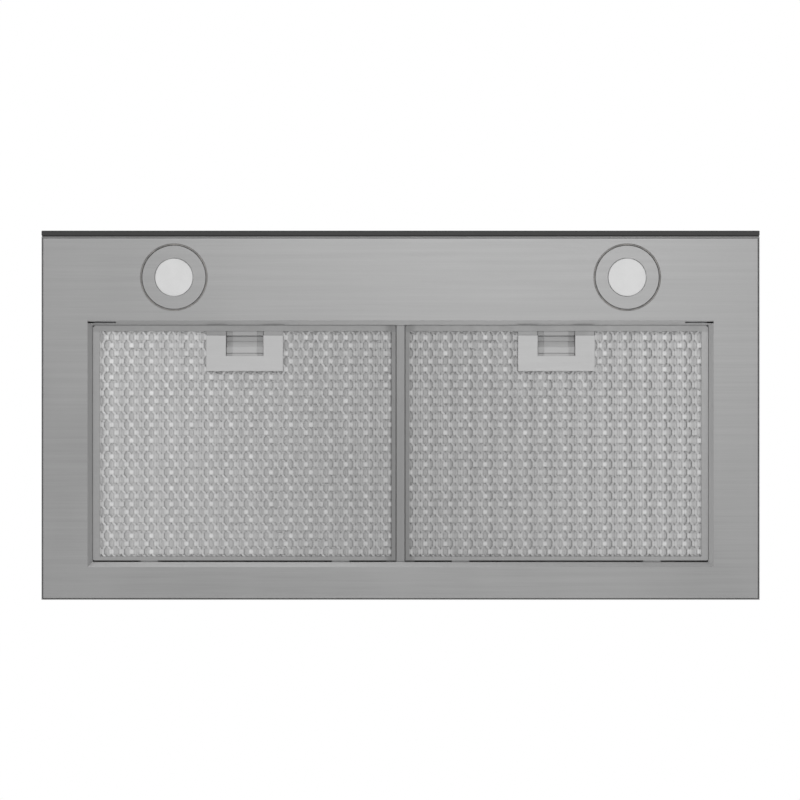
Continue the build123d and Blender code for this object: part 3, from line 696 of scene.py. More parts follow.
@dataclass(frozen=True)
class CircuitBoard(Finish):
    """Green board with darker tracks under the lacquer and tinned pads."""

    track_green: Colour = (0.008, 0.07, 0.03, 1.0)
    board_green: Colour = (0.012, 0.12, 0.045, 1.0)
    tin: Colour = grey(0.55, 0.03)
    track: float = 0.0022
    track_edge: tuple[float, float] = (0.06, 0.12)
    board_roughness: float = 0.1
    board_depth: float = 0.00003
    pad: float = 0.005
    pad_edge: tuple[float, float] = (0.10, 0.13)
    roughness: float = 0.3

    def shade(self, shader: Shader) -> None:
        """Builds the finish's nodes.

        Args:
            shader: The empty tree of its material.
        """
        tracks = Value(shader, shader.cells(self.track, "DISTANCE_TO_EDGE").outputs["Distance"])
        pads = Value(shader, shader.cells(self.pad).outputs["Distance"])
        off_track = shader.step(tracks, *self.track_edge)
        on_pad = 1 - shader.step(pads, *self.pad_edge)
        green = shader.mixed(off_track, self.track_green, self.board_green)
        shader.surface(
            Base_Color=shader.mixed(on_pad, green, self.tin),
            Metallic=on_pad,
            Roughness=self.roughness + self.board_roughness * off_track,
            Normal=shader.relief(off_track, self.board_depth),
        )


@dataclass(frozen=True)
class PaleFloor(Finish):
    """The studio floor: pale paint that keeps the shadow near the hood and fades to white far out."""

    level: float = 0.8557
    contrast: float = 0.005
    roughness: float = 0.7
    near: float = 6.0
    far: float = 20.0
    speck: float = 0.02

    def shade(self, shader: Shader) -> None:
        """Builds the finish's nodes.

        Args:
            shader: The empty tree of its material.
        """
        x, y = shader.place(Axis.X), shader.place(Axis.Y)
        away = shader.step((x * x + y * y) ** 0.5, self.near, self.far)
        colour = shader.toned(shader.noise(self.speck), self.level, self.contrast)
        inputs = {"Base Color": colour, "Roughness": self.roughness}
        paint = shader.node("ShaderNodeBsdfPrincipled", {}, inputs)
        white = shader.node("ShaderNodeEmission", {}, {"Strength": 1.0})
        mix = {0: away * seen(shader), 1: paint.outputs[0], 2: white.outputs[0]}
        both = shader.node("ShaderNodeMixShader", {}, mix)
        shader.node("ShaderNodeOutputMaterial", {}, {"Surface": both.outputs[0]})


def seen(shader: Shader) -> Value:
    """Where the camera, a reflection or a look through glass meets the background.

    Args:
        shader: The tree that asks.

    Returns:
        One for those rays, else zero.
    """
    path = shader.node("ShaderNodeLightPath")
    rays = [Value(shader, path.outputs[f"Is {kind} Ray"]) for kind in ("Camera", "Glossy", "Transmission")]
    return rays[0] + rays[1] + rays[2]


LATCH_X = sum(abs(corner.x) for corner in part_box("latch_slider_left")) / 2
LATCH_FRONT = abs(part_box("latch_plate_left")[0].y)
FRAME_REAR = abs(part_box("filter_mesh_left")[1].y)
FRAME_FRONT = abs(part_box("filter_frame_left")[0].y)

STEEL = BrushedSteel("brushed_steel", edge_radius=0.0003)
# the panel's sideways-facing folds get painted shade
PANEL_STEEL = BrushedSteel("panel_steel", side_painted_shade=0.15)
CHIMNEY_STEEL = BrushedSteel("chimney_steel", grain=Grain.HEIGHT)
# a darker copy of the steel, as painted shade for the rail set back between the filters
SHADED_RAIL_STEEL = BrushedSteel("shaded_rail_steel", grain=Grain.DEPTH, level=0.30, contrast=0.06)
LATCH_STEEL = BrushedSteel(
    "latch_steel", grain=Grain.WIDTH, level=0.58, contrast=0.04, roughness=0.55, streak_length=0.03
)
# a darker copy of the latch steel, as painted shade for the slider sunk in its pocket
SHADED_SLIDER_STEEL = replace(
    LATCH_STEEL,
    name="shaded_slider_steel",
    level=0.53,
    painted_shades=(
        # painted shade in the deep front well of the finger pocket
        PaintedShade(Axis.Y, clear_at=0.0085, darkest_at=0.0065, strength=0.2, centre=LATCH_FRONT),
        # painted shade along the sides of the pocket
        PaintedShade(Axis.X, clear_at=0.0145, darkest_at=0.0175, strength=0.16, centre=LATCH_X),
    ),
)
# the frame's aluminium with painted shade, which the hem wears too
FRAME_ALUMINIUM = BareAluminium(
    "frame_aluminium",
    painted_shades=(
        # painted shade where the two filters meet beside the centre rail
        PaintedShade(Axis.X, clear_at=0.022, darkest_at=0.0125, strength=0.27),
        # painted shade, darker towards the hood's middle
        PaintedShade(Axis.X, clear_at=0.36, darkest_at=0.0, strength=0.12),
        # painted shade along the front border, below the recess's front slope
        PaintedShade(Axis.Y, clear_at=0.0078, darkest_at=0.0058, strength=0.15, centre=FRAME_FRONT),
        # painted shade along the rear border, beside the rear gap
        PaintedShade(Axis.Y, clear_at=0.0045, darkest_at=0.002, strength=0.2, centre=FRAME_REAR - 0.0045),
    ),
)
HEM_ALUMINIUM = replace(FRAME_ALUMINIUM, name="hem_aluminium", edge_radius=0.0)
# a darker copy of the aluminium, as painted shade for the lips beside the slider in its pocket
SHADED_LIP_ALUMINIUM = BareAluminium("shaded_lip_aluminium", level=0.33)
# painted shade on the meshes, darker towards the hood's middle
MESH_PAINTED_SHADE = PaintedShade(Axis.X, clear_at=0.36, darkest_at=0.0, strength=0.2)
OUTER_MESH = HighlitMesh("outer_mesh", level=0.57, contrast=0.05, roughness=0.5, painted_shades=(MESH_PAINTED_SHADE,))
INNER_MESH = BareAluminium(
    "inner_mesh", level=0.59, contrast=0.05, roughness=0.55, patch=0.02, painted_shades=(MESH_PAINTED_SHADE,)
)
ZINC = ZincSteel("crystal_zinc")
CAST = GrainySkin(
    "pitted_casting",
    dark=grey(0.336),
    light=grey(0.483),
    roughness=0.425,
    grain=0.0012,
    grain_detail=4.0,
    grain_share=0.5,
    grain_roughness=0.15,
    patch=0.02,
    depth=0.00012,
    edge_radius=0.0008,
    metallic=1.0,
)
BRIGHT_STEEL = GrainySkin(
    "bright_steel",
    dark=grey(0.425),
    light=grey(0.575),
    roughness=0.2,
    grain=(0.0005, 0.01, 0.01),
    grain_detail=2.0,
    grain_share=0.5,
    patch=0.01,
    patch_roughness=0.14,
    depth=0.000004,
    metallic=1.0,
)
DARK_PLASTIC = GrainySkin(
    "black_moulding",
    dark=grey(0.0164),
    light=grey(0.0236),
    roughness=0.37,
    grain=0.0007,
    grain_roughness=0.08,
    patch=(0.03, 0.01, 0.03),
    patch_roughness=0.14,
    depth=0.00004,
    edge_radius=0.0008,
)
GREY_PLASTIC = replace(DARK_PLASTIC, name="grey_moulding", dark=grey(0.0984), light=grey(0.1416))
WHITE_PLASTIC = replace(
    DARK_PLASTIC, name="white_moulding", dark=grey(0.6392, 0.03), light=grey(0.7208, 0.03)
)
RUBBER = GrainySkin(
    "dusty_rubber",
    dark=grey(0.018),
    light=grey(0.0396, 0.1),
    roughness=0.75,
    grain=0.0009,
    patch=0.012,
    patch_roughness=0.15,
    depth=0.00005,
)
GASKET = replace(RUBBER, name="gasket_rubber", dark=grey(0.17), light=grey(0.374, 0.1))
LENS = GrainySkin(
    "frosted_lens",
    dark=grey(0.7178),
    light=grey(0.7622),
    roughness=0.32,
    grain=0.0012,
    grain_roughness=0.1,
    patch=0.02,
    patch_detail=2.0,
    depth=0.00002,
    edge_radius=0.0008,
    coat=0.25,
)
GLASS = BlackGlass("black_glass")
BOARD = CircuitBoard("circuit_board")
FLOOR = PaleFloor("pale_floor")


def add_object(name: str, shape: bmesh.types.BMesh, finish: Finish) -> bpy.types.Object:
    """Turns a mesh into an object of the scene.

    Args:
        name: The object's name.
        shape: Its mesh, which is used up.
        finish: Its finish.

    Returns:
        The object.
    """
    mesh = bpy.data.meshes.new(name)
    shape.to_mesh(mesh)
    shape.free()
    mesh.materials.append(finish.material())
    made = bpy.data.objects.new(name, mesh)
    bpy.context.scene.collection.objects.link(made)
    return made


def ease_edges(shape: bmesh.types.BMesh, made: Mapping[str, list[bmesh.types.BMVert]], ease: float) -> None:
    """Rounds every edge of a form that was just made.

    Args:
        shape: The mesh that holds it.
        made: What making it gave back, with its vertices.
        ease: How far its edges are cut back.
    """
    edges = dict.fromkeys(edge for vertex in made["verts"] for edge in vertex.link_edges)
    bmesh.ops.bevel(shape, geom=list(edges), offset=ease, segments=2, profile=0.5, affect="EDGES")


def add_block(shape: bmesh.types.BMesh, low: Vector, high: Vector, ease: float) -> None:
    """Adds a block with eased edges.

    Args:
        shape: The mesh that it goes to.
        low: Its lowest corner.
        high: Its highest corner.
        ease: How far its edges are cut back.
    """
    size = Matrix.Diagonal((*(high - low), 1.0))
    made = bmesh.ops.create_cube(shape, size=1.0, matrix=Matrix.Translation((low + high) / 2) @ size)
    ease_edges(shape, made, ease)


def add_rings(
    shape: bmesh.types.BMesh, sections: Iterable[Iterable[Sequence[float]]], closed: bool = False
) -> list[list[bmesh.types.BMVert]]:
    """Joins a row of outlines with faces.

    Args:
        shape: The mesh that they go to.
        sections: The outlines' points, as many in each.
        closed: Whether the last outline joins the first again.

    Returns:
        The outlines' vertices.
    """
    rings = [[shape.verts.new(point) for point in section] for section in sections]
    for before, after in zip(rings, rings[1:] + (rings[:1] if closed else [])):
        for place in range(len(before)):
            beside = (place + 1) % len(before)
            shape.faces.new((before[place], before[beside], after[beside], after[place]))
    return rings


class Assembly(ABC):
    """What every sub-assembly does with its pieces."""

    @abstractmethod
    def build(self) -> None:
        """Makes and dresses the sub-assembly."""

    def dress(self, finish: Finish, *nodes: str) -> None:
        """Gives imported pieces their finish.

        Args:
            finish: The finish.
            nodes: The pieces' names.
        """
        for node in nodes:
            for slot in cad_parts[node].material_slots:
                slot.material = finish.material()
            LOG.info("%s: %s", node, finish.name)

    def piece(
        self,
        name: str,
        shape: bmesh.types.BMesh,
        finish: Finish,
        slot: str,
        body: str,
        stands_for: Iterable[str] = (),
    ) -> bpy.types.Object:
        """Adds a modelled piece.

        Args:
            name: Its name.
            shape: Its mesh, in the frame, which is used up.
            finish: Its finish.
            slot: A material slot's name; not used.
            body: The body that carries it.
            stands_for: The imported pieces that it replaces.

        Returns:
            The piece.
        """
        made = add_object(name, shape, finish)
        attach(made, body)
        if stands_for:
            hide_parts(*stands_for)
        LOG.info("%s: %s, %d faces", name, finish.name, len(made.data.polygons))
        return made


@dataclass(frozen=True)
class SoftLamp:
    """A soft square lamp."""

    name: str
    place: tuple[float, float, float]
    size: float
    power: float

    def hang(self, aim: Vector) -> None:
        """Adds the lamp.

        Args:
            aim: The point that it faces.
        """
        lamp = bpy.data.lights.new(self.name, "AREA")
        lamp.size = self.size
        lamp.energy = self.power
        holder = bpy.data.objects.new(self.name, lamp)
        holder.location = self.place
        holder.rotation_euler = (aim - holder.location).to_track_quat("-Z", "Y").to_euler()
        holder.visible_camera = False
        bpy.context.scene.collection.objects.link(holder)


@dataclass
class Studio:
    """The photograph's view from below, a pale floor far beneath it and soft light."""

    lamps: tuple[SoftLamp, ...] = (
        SoftLamp("low_lamp", (0.28, -1.1, -2.6), 1.6, 7.2),
        SoftLamp("front_lamp", (-0.5, -3.0, -0.8), 1.6, 6.0),
        SoftLamp("rear_lamp", (0.3, 2.5, -0.7), 1.4, 4.0),
        SoftLamp("left_lamp", (-2.6, -0.3, -0.7), 1.4, 3.0),
        SoftLamp("top_lamp", (1.6, -2.4, 2.6), 3.2, 32.0),
    )
    frame_pixels: float = 800.0
    left_pixel: float = 41.5
    right_pixel: float = 759.6
    wall_pixel: float = 599.8
    lens: float = 85.0
    sensor: float = 36.0
    floor_height: float = -3.0
    floor_reach: float = 60.0
    soft_light: float = 0.8

    def build(self) -> None:
        """Sets up the world, floor, lamps and camera."""
        self.light_world()
        self.lay_floor()
        low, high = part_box("canopy_shell")
        for lamp in self.lamps:
            lamp.hang((low + high) / 2)
        self.place_camera(high.x - low.x)
        bpy.context.scene.view_settings.view_transform = "Standard"

    def light_world(self) -> None:
        """A white surround, at a softer level where it lights the hood."""
        world = bpy.data.worlds.new("studio")
        world.use_nodes = True
        shader = Shader(world.node_tree)
        white = seen(shader)
        strength = white + self.soft_light * (1 - white)
        background = shader.node("ShaderNodeBackground", {}, {"Color": grey(1.0), "Strength": strength})
        shader.node("ShaderNodeOutputWorld", {}, {"Surface": background.outputs[0]})
        bpy.context.scene.world = world

    def lay_floor(self) -> None:
        """A wide flat floor under the hood."""
        shape = bmesh.new()
        reach = self.floor_reach
        corners = [(-reach, -reach), (reach, -reach), (reach, reach), (-reach, reach)]
        shape.faces.new([shape.verts.new((x, y, self.floor_height)) for x, y in corners])
        add_object("floor", shape, FLOOR)

    def place_camera(self, hood_width: float) -> None:
        """Looks straight up at the underside, with the hood's front at the top of the picture.

        Args:
            hood_width: The width that fills the photograph from its left to its right pixel.
        """
        scale = hood_width / (self.right_pixel - self.left_pixel)
        middle = self.frame_pixels / 2
        across = (middle - (self.left_pixel + self.right_pixel) / 2) * scale
        from_wall = (self.wall_pixel - middle) * scale
        distance = self.frame_pixels * scale * self.lens / self.sensor
        camera = bpy.data.cameras.new("camera")
        camera.lens = self.lens
        camera.sensor_width = self.sensor
        holder = bpy.data.objects.new("camera", camera)
        holder.location = (across, -from_wall, -distance)
        holder.rotation_euler = (math.pi, 0.0, 0.0)
        bpy.context.scene.collection.objects.link(holder)
        bpy.context.scene.camera = holder


@dataclass
class Canopy(Assembly):
    """The flat steel box, its brushed underside, its rails and the black fascia."""

    bead_inset: float = 0.0004
    bead_ease: float = 0.0002

    def bead(self) -> None:
        """Makes the rubber bead that fills the edge between the glass and the canopy."""
        glass_low, glass_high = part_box("front_glass")
        low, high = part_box("fascia_carrier")
        inset = self.bead_inset
        outer_low = Vector((glass_low.x + inset, low.y, glass_low.z + inset))
        outer_high = Vector((glass_high.x - inset, high.y, glass_high.z - inset))
        shape = bmesh.new()
        for low_x, low_z, high_x, high_z in (
            (outer_low.x, outer_low.z, outer_high.x, low.z),
            (outer_low.x, high.z, outer_high.x, outer_high.z),
            (outer_low.x, low.z, low.x, high.z),
            (high.x, low.z, outer_high.x, high.z),
        ):
            corners = Vector((low_x, low.y, low_z)), Vector((high_x, high.y, high_z))
            add_block(shape, *corners, self.bead_ease)
        self.piece("fascia_bead", shape, RUBBER, "rubber", "hood")

    def build(self) -> None:
        """Dresses the canopy."""
        self.dress(STEEL, "canopy_shell")
        self.dress(PANEL_STEEL, "underside_panel")
        self.dress(SHADED_RAIL_STEEL, "centre_rail")
        self.dress(ZINC, "filter_stop_rail")
        self.dress(GLASS, "front_glass")
        self.bead()
        self.dress(DARK_PLASTIC, "fascia_carrier", "control_housing")
        self.dress(BOARD, "touch_board")


@dataclass
class Lamp(Assembly):
    """One of the two round lamps."""

    side: Side
    gasket_gap: float = 0.0001
    gasket_width: float = 0.0016
    gasket_low: float = 0.0004
    gasket_high: float = 0.0013
    gasket_ease: float = 0.0003
    gasket_sides: int = 128

    def gasket(self) -> None:
        """Makes the grey gasket ring in the seat round the bezel."""
        low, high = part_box(f"lamp_bezel_{self.side.value}")
        middle = (low + high) / 2
        inner = (high.y - low.y) / 2 + self.gasket_gap
        outer = inner + self.gasket_width
        outline = [
            (inner, self.gasket_high),
            (inner, self.gasket_low),
            (outer - self.gasket_ease, self.gasket_low),
            (outer, self.gasket_low + self.gasket_ease),
            (outer, self.gasket_high),
        ]
        sections = []
        for step in range(self.gasket_sides):
            angle = 2 * math.pi * step / self.gasket_sides
            x, y = math.cos(angle), math.sin(angle)
            sections.append([(middle.x + reach * x, middle.y + reach * y, z) for reach, z in outline])
        shape = bmesh.new()
        add_rings(shape, sections, closed=True)
        bmesh.ops.recalc_face_normals(shape, faces=shape.faces)
        self.piece(f"lamp_gasket_{self.side.value}", shape, GASKET, "rubber", "hood")

    def build(self) -> None:
        """Makes the gasket and dresses the lamp."""
        side = self.side.value
        self.gasket()
        self.dress(STEEL, f"lamp_bezel_{side}")
        self.dress(LENS, f"lamp_lens_{side}")
        self.dress(CAST, f"lamp_can_{side}")
        self.dress(BRIGHT_STEEL, f"lamp_clips_{side}")


@dataclass(frozen=True)
class Region:
    """An upright rectangle in X and Y."""

    low_x: float
    high_x: float
    low_y: float
    high_y: float


@dataclass(frozen=True)
class ExpandedSheet:
    """Expanded metal: strips that wave along Y and join where they touch, leaving staggered diamonds."""

    base: float
    lattice: Lattice = LATTICE
    strand: float = 0.0033
    bond: float = 0.0056
    lean: float = 0.0003
    twist: float = 14.0
    thickness: float = 0.0003
    wave_height: float = 0.0
    shift_x: float = 0.0
    shift_y: float = 0.0
    unevenness: float = 0.35

    def uneven(self, column: int, row: int, turn: float = 0.0) -> float:
        """A bond's or a strand's own share of the unevenness, up or down, the same on every run."""
        phase = sum(part * factor for part, factor in zip((column, row, turn), HASH_FACTORS))
        return self.unevenness * (2 * (math.sin(phase) * HASH_SPREAD % 1.0) - 1)

    def wave(self, x: float) -> float:
        """How far the sheet is pressed up at a place across it, or down on its crests."""
        turn = 2 * math.pi * (x - self.lattice.crest) / self.lattice.wave_pitch
        return -self.wave_height * math.cos(turn)

    def section(self, middle: Vector, reach: float, rise: float) -> list[Vector]:
        """A strip's cross-section.

        Args:
            middle: Its middle.
            reach: Half its width across.
            rise: Half its height from its left edge to its right.

        Returns:
            The lower left, lower right, upper right and upper left points.
        """
        left = middle + Vector((-reach, 0, self.wave(middle.x - reach) - rise))
        right = middle + Vector((reach, 0, self.wave(middle.x + reach) + rise))
        up = Vector((0, 0, self.thickness))
        return [left, right, right + up, left + up]

    def at_bond(self, column: int, row: int, y: float) -> list[Vector]:
        """A strip's cross-section at one end of a bond.

        Args:
            column: The strip's column, which is that of the bonds on its left.
            row: The half row of the bond.
            y: The place along the strip.

        Returns:
            Its four points.
        """
        on_left = (row + column) % 2 == 0
        bond_column = column if on_left else column + 1
        half = self.strand / 2
        bond_x = self.shift_x + bond_column * self.lattice.short_way / 2
        middle = Vector((bond_x + (half if on_left else -half), y, self.base))
        lean = self.lean * (1 + self.uneven(bond_column, row))
        return self.section(middle, half, lean / 2)

    def at_strand(self, column: int, row: int, y: float) -> list[Vector]:
        """A strip's twisted cross-section half way between two bonds.

        Args:
            column: The strip's column.
            row: The half row before it.
            y: The place along the strip.

        Returns:
            Its four points.
        """
        middle_x = self.shift_x + (column + 0.5) * self.lattice.short_way / 2
        angle = math.radians(self.twist) * (1 + self.uneven(column, row, 1.0))
        reach = self.strand / 2
        middle = Vector((middle_x, y, self.base))
        return self.section(middle, reach * math.cos(angle), reach * math.sin(angle))

    def strip(self, shape: bmesh.types.BMesh, column: int, region: Region) -> None:
        """Adds one waving strip.

        Args:
            shape: The mesh that it goes to.
            column: Its column.
            region: The rectangle that it must cover from end to end.
        """
        step = self.lattice.long_way / 2
        first = math.floor((region.low_y - self.shift_y) / step) - 1
        last = math.ceil((region.high_y - self.shift_y) / step) + 1
        sections = []
        for row in range(first, last + 1):
            y = self.shift_y + row * step
            sections.append(self.at_bond(column, row, y - self.bond / 2))
            sections.append(self.at_bond(column, row, y + self.bond / 2))
            sections.append(self.at_strand(column, row, y + step / 2))
        add_rings(shape, sections)

    def cut(self, shape: bmesh.types.BMesh, region: Region) -> None:
        """Trims a mesh to a rectangle and closes the cut ends.

        Args:
            shape: The mesh.
            region: The rectangle that is kept.
        """
        sides = [
            ((region.low_x, 0, 0), (-1, 0, 0)),
            ((region.high_x, 0, 0), (1, 0, 0)),
            ((0, region.low_y, 0), (0, -1, 0)),
            ((0, region.high_y, 0), (0, 1, 0)),
        ]
        for point, outward in sides:
            parts = [*shape.verts, *shape.edges, *shape.faces]
            bmesh.ops.bisect_plane(shape, geom=parts, plane_co=point, plane_no=outward, clear_outer=True)
        bmesh.ops.holes_fill(shape, edges=[edge for edge in shape.edges if edge.is_boundary])

    def lay(self, whole: bmesh.types.BMesh, regions: Iterable[Region]) -> None:
        """Adds the sheet, cut to its outline.

        Args:
            whole: The mesh that it goes to.
            regions: Rectangles that share edges and make up the outline.
        """
        for region in regions:
            part = bmesh.new()
            half = self.lattice.short_way / 2
            first = math.floor((region.low_x - self.shift_x) / half) - 1
            last = math.ceil((region.high_x - self.shift_x) / half)
            for column in range(first, last + 1):
                self.strip(part, column, region)
            self.cut(part, region)
            carrier = bpy.data.meshes.new("region")
            part.to_mesh(carrier)
            part.free()
            whole.from_mesh(carrier)
            bpy.data.meshes.remove(carrier)


@dataclass
class GreaseFilter(Assembly):
    """One filter: a folded frame, layers of expanded aluminium and the sprung latch."""

    side: Side
    cup_wall: float = 0.0012
    sheet_gap: float = 0.0003
    slider_gap: float = 0.00045
    layer_gap: float = 0.0011
    outer_wave: float = 0.0003
    core_wave: float = 0.0007
    core_twist: float = 5.0
    near_drop: float = 0.0008
    near_strand: float = 0.0061
    far_rise: float = 0.0009
    far_strand: float = 0.0056
    far_shift: float = 0.25
    back_strand: float = 0.0046
    back_shift: float = 0.2
    plate_lap: float = 0.003
    lip_sheet: float = 0.0007
    lip_ease: float = 0.0007 / 3
    lip_lap: float = 0.004
    hem_reach: float = 0.0013
    side_hem_reach: float = 0.0013
    rear_tongue: float = 0.0064
    hem_sheet: float = 0.0005
    hem_ease: float = 0.000125
    hem_drop: float = 0.00015
    spring_thickness: float = 0.0004
    spring_steps: int = 24
    latch_travel: float = 0.006

    def node(self, piece: str) -> str:
        """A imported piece's full name on this side."""
        return f"{piece}_{self.side.value}"

    def around(self, notch: Region) -> list[Region]:
        """The sheets' outline in three rectangles, beside and behind a notch for the latch.

        Args:
            notch: The notch.

        Returns:
            The rectangles.
        """
        low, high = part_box(self.node("filter_mesh"))
        return [
            Region(low.x, notch.low_x, low.y, high.y),
            Region(notch.low_x, notch.high_x, notch.high_y, high.y),
            Region(notch.high_x, high.x, low.y, high.y),
        ]

    def cup(self) -> Region:
        """The latch cup.

        Returns:
            Its outline, with room round it.
        """
        low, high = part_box(self.node("latch_slider"))
        clear = self.slider_gap + self.cup_wall + self.sheet_gap
        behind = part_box(self.node("latch_spring"))[1].y + clear - self.slider_gap + self.sheet_gap
        return Region(low.x - clear, high.x + clear, low.y, behind)

    def plate(self) -> Region:
        """The latch plate.

        Returns:
            Its outline, less the lap that the outer sheet keeps under its rear and side edges.
        """
        low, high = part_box(self.node("latch_plate"))
        lap = self.plate_lap
        return Region(low.x + lap, high.x - lap, low.y, max(high.y - lap, self.cup().high_y))

    def layers(self) -> dict[str, list[ExpandedSheet]]:
        """The expanded sheets that stand for each packed one.

        Returns:
            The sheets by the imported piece's plain name.
        """
        outer_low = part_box(self.node("filter_mesh"))[0]
        core_low, core_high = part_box(self.node("filter_core"))
        back_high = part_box(self.node("filter_back_mesh"))[1]
        middle = (core_low.z + core_high.z) / 2
        outer = ExpandedSheet(outer_low.z + self.layer_gap, wave_height=self.outer_wave)
        near = ExpandedSheet(
            middle - self.near_drop,
            strand=self.near_strand,
            twist=self.core_twist,
            wave_height=self.core_wave,
            shift_x=LATTICE.short_way / 2,
        )
        far = replace(
            near,
            base=middle + self.far_rise,
            strand=self.far_strand,
            shift_x=0.0,
            shift_y=LATTICE.long_way * self.far_shift,
        )
        back = replace(
            outer,
            base=back_high.z - self.layer_gap,
            strand=self.back_strand,
            shift_y=LATTICE.long_way * self.back_shift,
        )
        return {"filter_mesh": [outer], "filter_core": [near, far], "filter_back_mesh": [back]}

    def build(self) -> None:
        """Makes the sheets, lips, hem and spring, and dresses the rest."""
        body = self.node("filter")
        for packed, sheets in self.layers().items():
            outer = packed == "filter_mesh"
            notch, finish = (self.plate(), OUTER_MESH) if outer else (self.cup(), INNER_MESH)
            name = self.node(packed)
            shape = bmesh.new()
            for sheet in sheets:
                sheet.lay(shape, self.around(notch))
            self.piece(f"{name}_sheet", shape, finish, "aluminium", body, [name])
        self.dress(FRAME_ALUMINIUM, self.node("filter_frame"))
        self.dress(LATCH_STEEL, self.node("latch_plate"))
        self.dress(SHADED_SLIDER_STEEL, self.node("latch_slider"))
        self.lips(body)
        self.hem(body)
        self.spring(body)

    def lips(self, body: str) -> None:
        """Makes the two flat lips that close the gap between the plate and the frame beside the slider.

        Args:
            body: The body that carries them.
        """
        plate_low, plate_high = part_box(self.node("latch_plate"))
        sheet_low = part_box(self.node("filter_mesh"))[0]
        slider_low, slider_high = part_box(self.node("latch_slider"))
        gap = self.slider_gap
        shape = bmesh.new()
        for low_x, high_x in ((plate_low.x, slider_low.x - gap), (slider_high.x + gap, plate_high.x)):
            low = Vector((low_x, sheet_low.y + self.sheet_gap, sheet_low.z + self.sheet_gap / 2))
            high = Vector((high_x, plate_low.y + self.lip_lap, low.z + self.lip_sheet))
            add_block(shape, low, high, self.lip_ease)
        self.piece(self.node("latch_lips"), shape, SHADED_LIP_ALUMINIUM, "aluminium", body)

    def hem(self, body: str) -> None:
        """Makes the hem folded out along the frame's front and outer side, close to the recess's rim.

        Args:
            body: The body that carries it.
        """
        frame_low, frame_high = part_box(self.node("filter_frame"))
        sheet = self.hem_sheet
        bottom = frame_low.z - self.hem_drop
        outward, outer = (-1, frame_low.x) if self.side is Side.LEFT else (1, frame_high.x)
        side = sorted((outer + outward * self.side_hem_reach, outer - outward * sheet))
        front = (frame_low.x + sheet, frame_high.x - sheet)
        shape = bmesh.new()
        for across, along in (
            (front, (frame_low.y - self.hem_reach, frame_low.y + sheet)),
            (side, (frame_low.y + sheet, frame_high.y - self.rear_tongue - sheet)),
        ):
            low = Vector((across[0], along[0], bottom))
            high = Vector((across[1], along[1], bottom + sheet))
            add_block(shape, low, high, self.hem_ease)
        self.piece(self.node("filter_hem"), shape, HEM_ALUMINIUM, "aluminium", body)

    def spring(self, body: str) -> None:
        """Makes the bowed leaf spring; the real spring flattens as the grip is pulled back.

        Args:
            body: The body that carries it.
        """
        node = self.node("latch_spring")
        low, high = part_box(node)
        middle = (low.x + high.x) / 2
        half = (high.x - low.x) / 2
        bow = high.y - low.y - self.spring_thickness
        radius = (half * half + bow * bow) / (2 * bow)
        sections = []
        for step in range(self.spring_steps + 1):
            x = half * (2 * step / self.spring_steps - 1)
            y = low.y + radius - math.sqrt(radius * radius - x * x)
            behind = y + self.spring_thickness
            outline = ((y, low.z), (behind, low.z), (behind, high.z), (y, high.z))
            sections.append([(middle + x, place, up) for place, up in outline])
        shape = bmesh.new()
        rings = add_rings(shape, sections)
        shape.faces.new(rings[0])
        shape.faces.new(rings[-1][::-1])
        leaf = self.piece(f"{node}_leaf", shape, BRIGHT_STEEL, "shaft_steel", body, [node])
        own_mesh(leaf)


@dataclass
class Blower(Assembly):
    """The tower with its blower: scroll, impeller, motor and capacitor."""

    def build(self) -> None:
        """Dresses the blower."""
        self.dress(ZINC, "blower_tower", "tower_cover", "motor_bracket", "capacitor_clamp")
        self.dress(DARK_PLASTIC, "scroll_right_half", "scroll_left_half")
        self.dress(GREY_PLASTIC, "impeller")
        self.dress(CAST, "motor_body")
        self.dress(BRIGHT_STEEL, "motor_shaft")
        self.dress(RUBBER, "motor_mounts")
        self.dress(WHITE_PLASTIC, "capacitor")


@dataclass
class DuctOutlet(Assembly):
    """The round outlet with its two half-moon flaps."""

    def build(self) -> None:
        """Dresses the outlet."""
        self.dress(GREY_PLASTIC, "outlet_collar", "flap_front", "flap_rear")
        self.dress(BRIGHT_STEEL, "flap_pin")


@dataclass
class Chimney(Assembly):
    """The two sliding chimney covers and the ceiling bracket."""

    def build(self) -> None:
        """Dresses the chimney."""
        self.dress(CHIMNEY_STEEL, "lower_chimney_cover", "upper_chimney_cover")
        self.dress(ZINC, "ceiling_bracket")
        self.dress(BRIGHT_STEEL, "bracket_screws")


@dataclass
class Electrics(Assembly):
    """The terminal box with its gland, and the lamp driver."""

    def build(self) -> None:
        """Dresses the electrics."""
        self.dress(DARK_PLASTIC, "terminal_box", "terminal_cover", "cable_gland")
        self.dress(WHITE_PLASTIC, "lamp_driver")


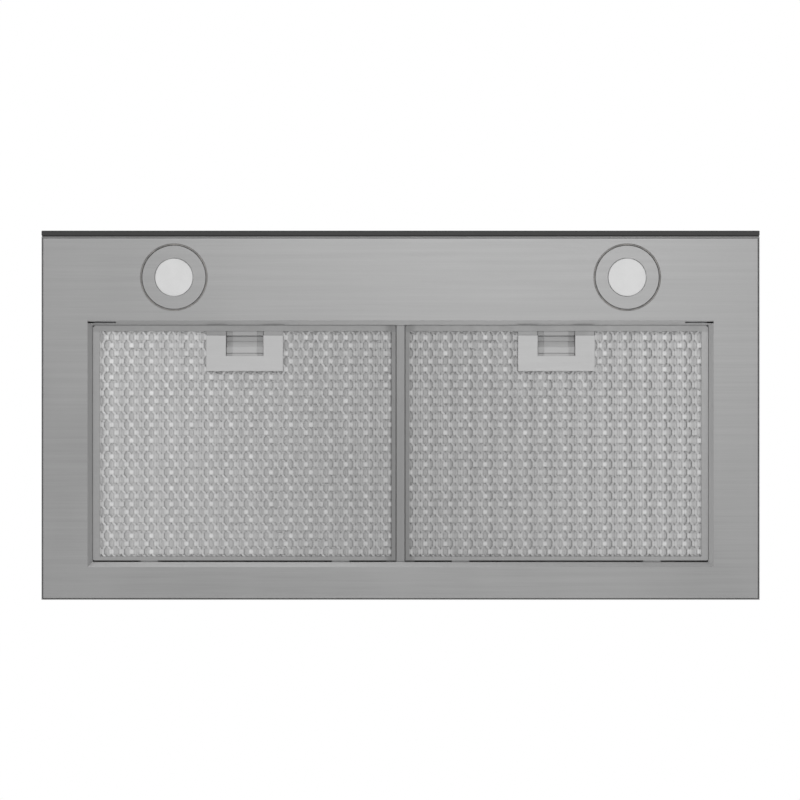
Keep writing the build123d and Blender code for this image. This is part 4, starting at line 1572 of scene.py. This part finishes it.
@dataclass
class Fasteners(Assembly):
    """The flanged hexagon screws of the tower, the outlet and the terminal box."""

    flange_sides: int = 24
    flange_radius: float = 0.0042
    flange_taper: float = 0.93
    flange_height: float = 0.0008
    head_sides: int = 6
    head_radius: float = 0.0032
    head_taper: float = 0.96
    head_height: float = 0.0026
    turn_step: float = 37.0
    ease: float = 0.0003
    sheet: float = 0.0012
    foot_places: tuple[float, float] = (-0.06, -0.2)
    cover_rows: int = 4
    cover_border: float = 0.006
    collar_count: int = 4
    collar_flange: float = 0.002
    collar_border: float = 0.0045
    lid_border: float = 0.008

    def add_screw(self, shape: bmesh.types.BMesh, place: Vector, outward: Vector, turn: float) -> None:
        """Adds one screw head with its flange.

        Args:
            shape: The mesh that it goes to.
            place: The point on the sheet.
            outward: The direction in which the head stands.
            turn: How far the head is turned, in degrees.
        """
        stand = outward.to_track_quat("Z", "Y").to_matrix().to_4x4()
        stand = Matrix.Translation(place) @ stand @ Matrix.Rotation(math.radians(turn), 4, "Z")
        flange, head = self.flange_height, self.head_height
        for sides, radius, taper, low, high in (
            (self.flange_sides, self.flange_radius, self.flange_taper, 0.0, flange),
            (self.head_sides, self.head_radius, self.head_taper, flange, head),
        ):
            made = bmesh.ops.create_cone(
                shape,
                cap_ends=True,
                segments=sides,
                radius1=radius,
                radius2=radius * taper,
                depth=high - low,
                matrix=stand @ Matrix.Translation((0, 0, (low + high) / 2)),
            )
            ease_edges(shape, made, self.ease)

    def add_group(self, name: str, places: Iterable[Vector], outward: Vector) -> None:
        """Adds a piece of several screws that face one way.

        Args:
            name: The piece's name.
            places: Where they stand.
            outward: The direction in which their heads stand.
        """
        shape = bmesh.new()
        for count, place in enumerate(places):
            self.add_screw(shape, place, outward, self.turn_step * count)
        self.piece(name, shape, BRIGHT_STEEL, "shaft_steel", "hood")

    def build(self) -> None:
        """Adds every group."""
        up = Vector((0, 0, 1))
        tower_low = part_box("blower_tower")[0]
        cover_low, cover_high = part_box("tower_cover")
        foot_x = cover_high.x + self.cover_border
        foot_top = tower_low.z + self.sheet
        feet = [Vector((side * foot_x, y, foot_top)) for side in (-1, 1) for y in self.foot_places]
        self.add_group("tower_foot_screws", feet, up)
        rise = (cover_high.z - cover_low.z) / (self.cover_rows + 1)
        rows = [cover_low.z + rise * (row + 1) for row in range(self.cover_rows)]
        column = cover_high.x - self.cover_border
        face = tower_low.y - self.sheet
        cover = [Vector((side * column, face, z)) for side in (-1, 1) for z in rows]
        self.add_group("tower_cover_screws", cover, Vector((0, -1, 0)))
        collar_low, collar_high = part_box("outlet_collar")
        middle = (collar_low + collar_high) / 2
        reach = (collar_high.x - collar_low.x) / 2 - self.collar_border
        ring = []
        for place in range(self.collar_count):
            angle = 2 * math.pi * (place + 0.5) / self.collar_count
            x, y = reach * math.cos(angle), reach * math.sin(angle)
            ring.append(Vector((middle.x + x, middle.y + y, collar_low.z + self.collar_flange)))
        self.add_group("collar_screws", ring, up)
        lid_low, lid_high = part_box("terminal_cover")
        ends = (lid_low.y + self.lid_border, lid_high.y - self.lid_border)
        lid = [Vector(((lid_low.x + lid_high.x) / 2, y, lid_high.z)) for y in ends]
        self.add_group("terminal_screws", lid, up)


def record_sizes() -> None:
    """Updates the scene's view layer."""
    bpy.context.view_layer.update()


def main() -> None:
    """Builds the studio and every sub-assembly."""
    logging.basicConfig(level=logging.INFO, format="%(message)s")
    Studio().build()
    Canopy().build()
    for side in Side:
        Lamp(side).build()
        GreaseFilter(side).build()
    Blower().build()
    DuctOutlet().build()
    Chimney().build()
    Electrics().build()
    Fasteners().build()
    record_sizes()


if __name__ == "__main__":
    main()
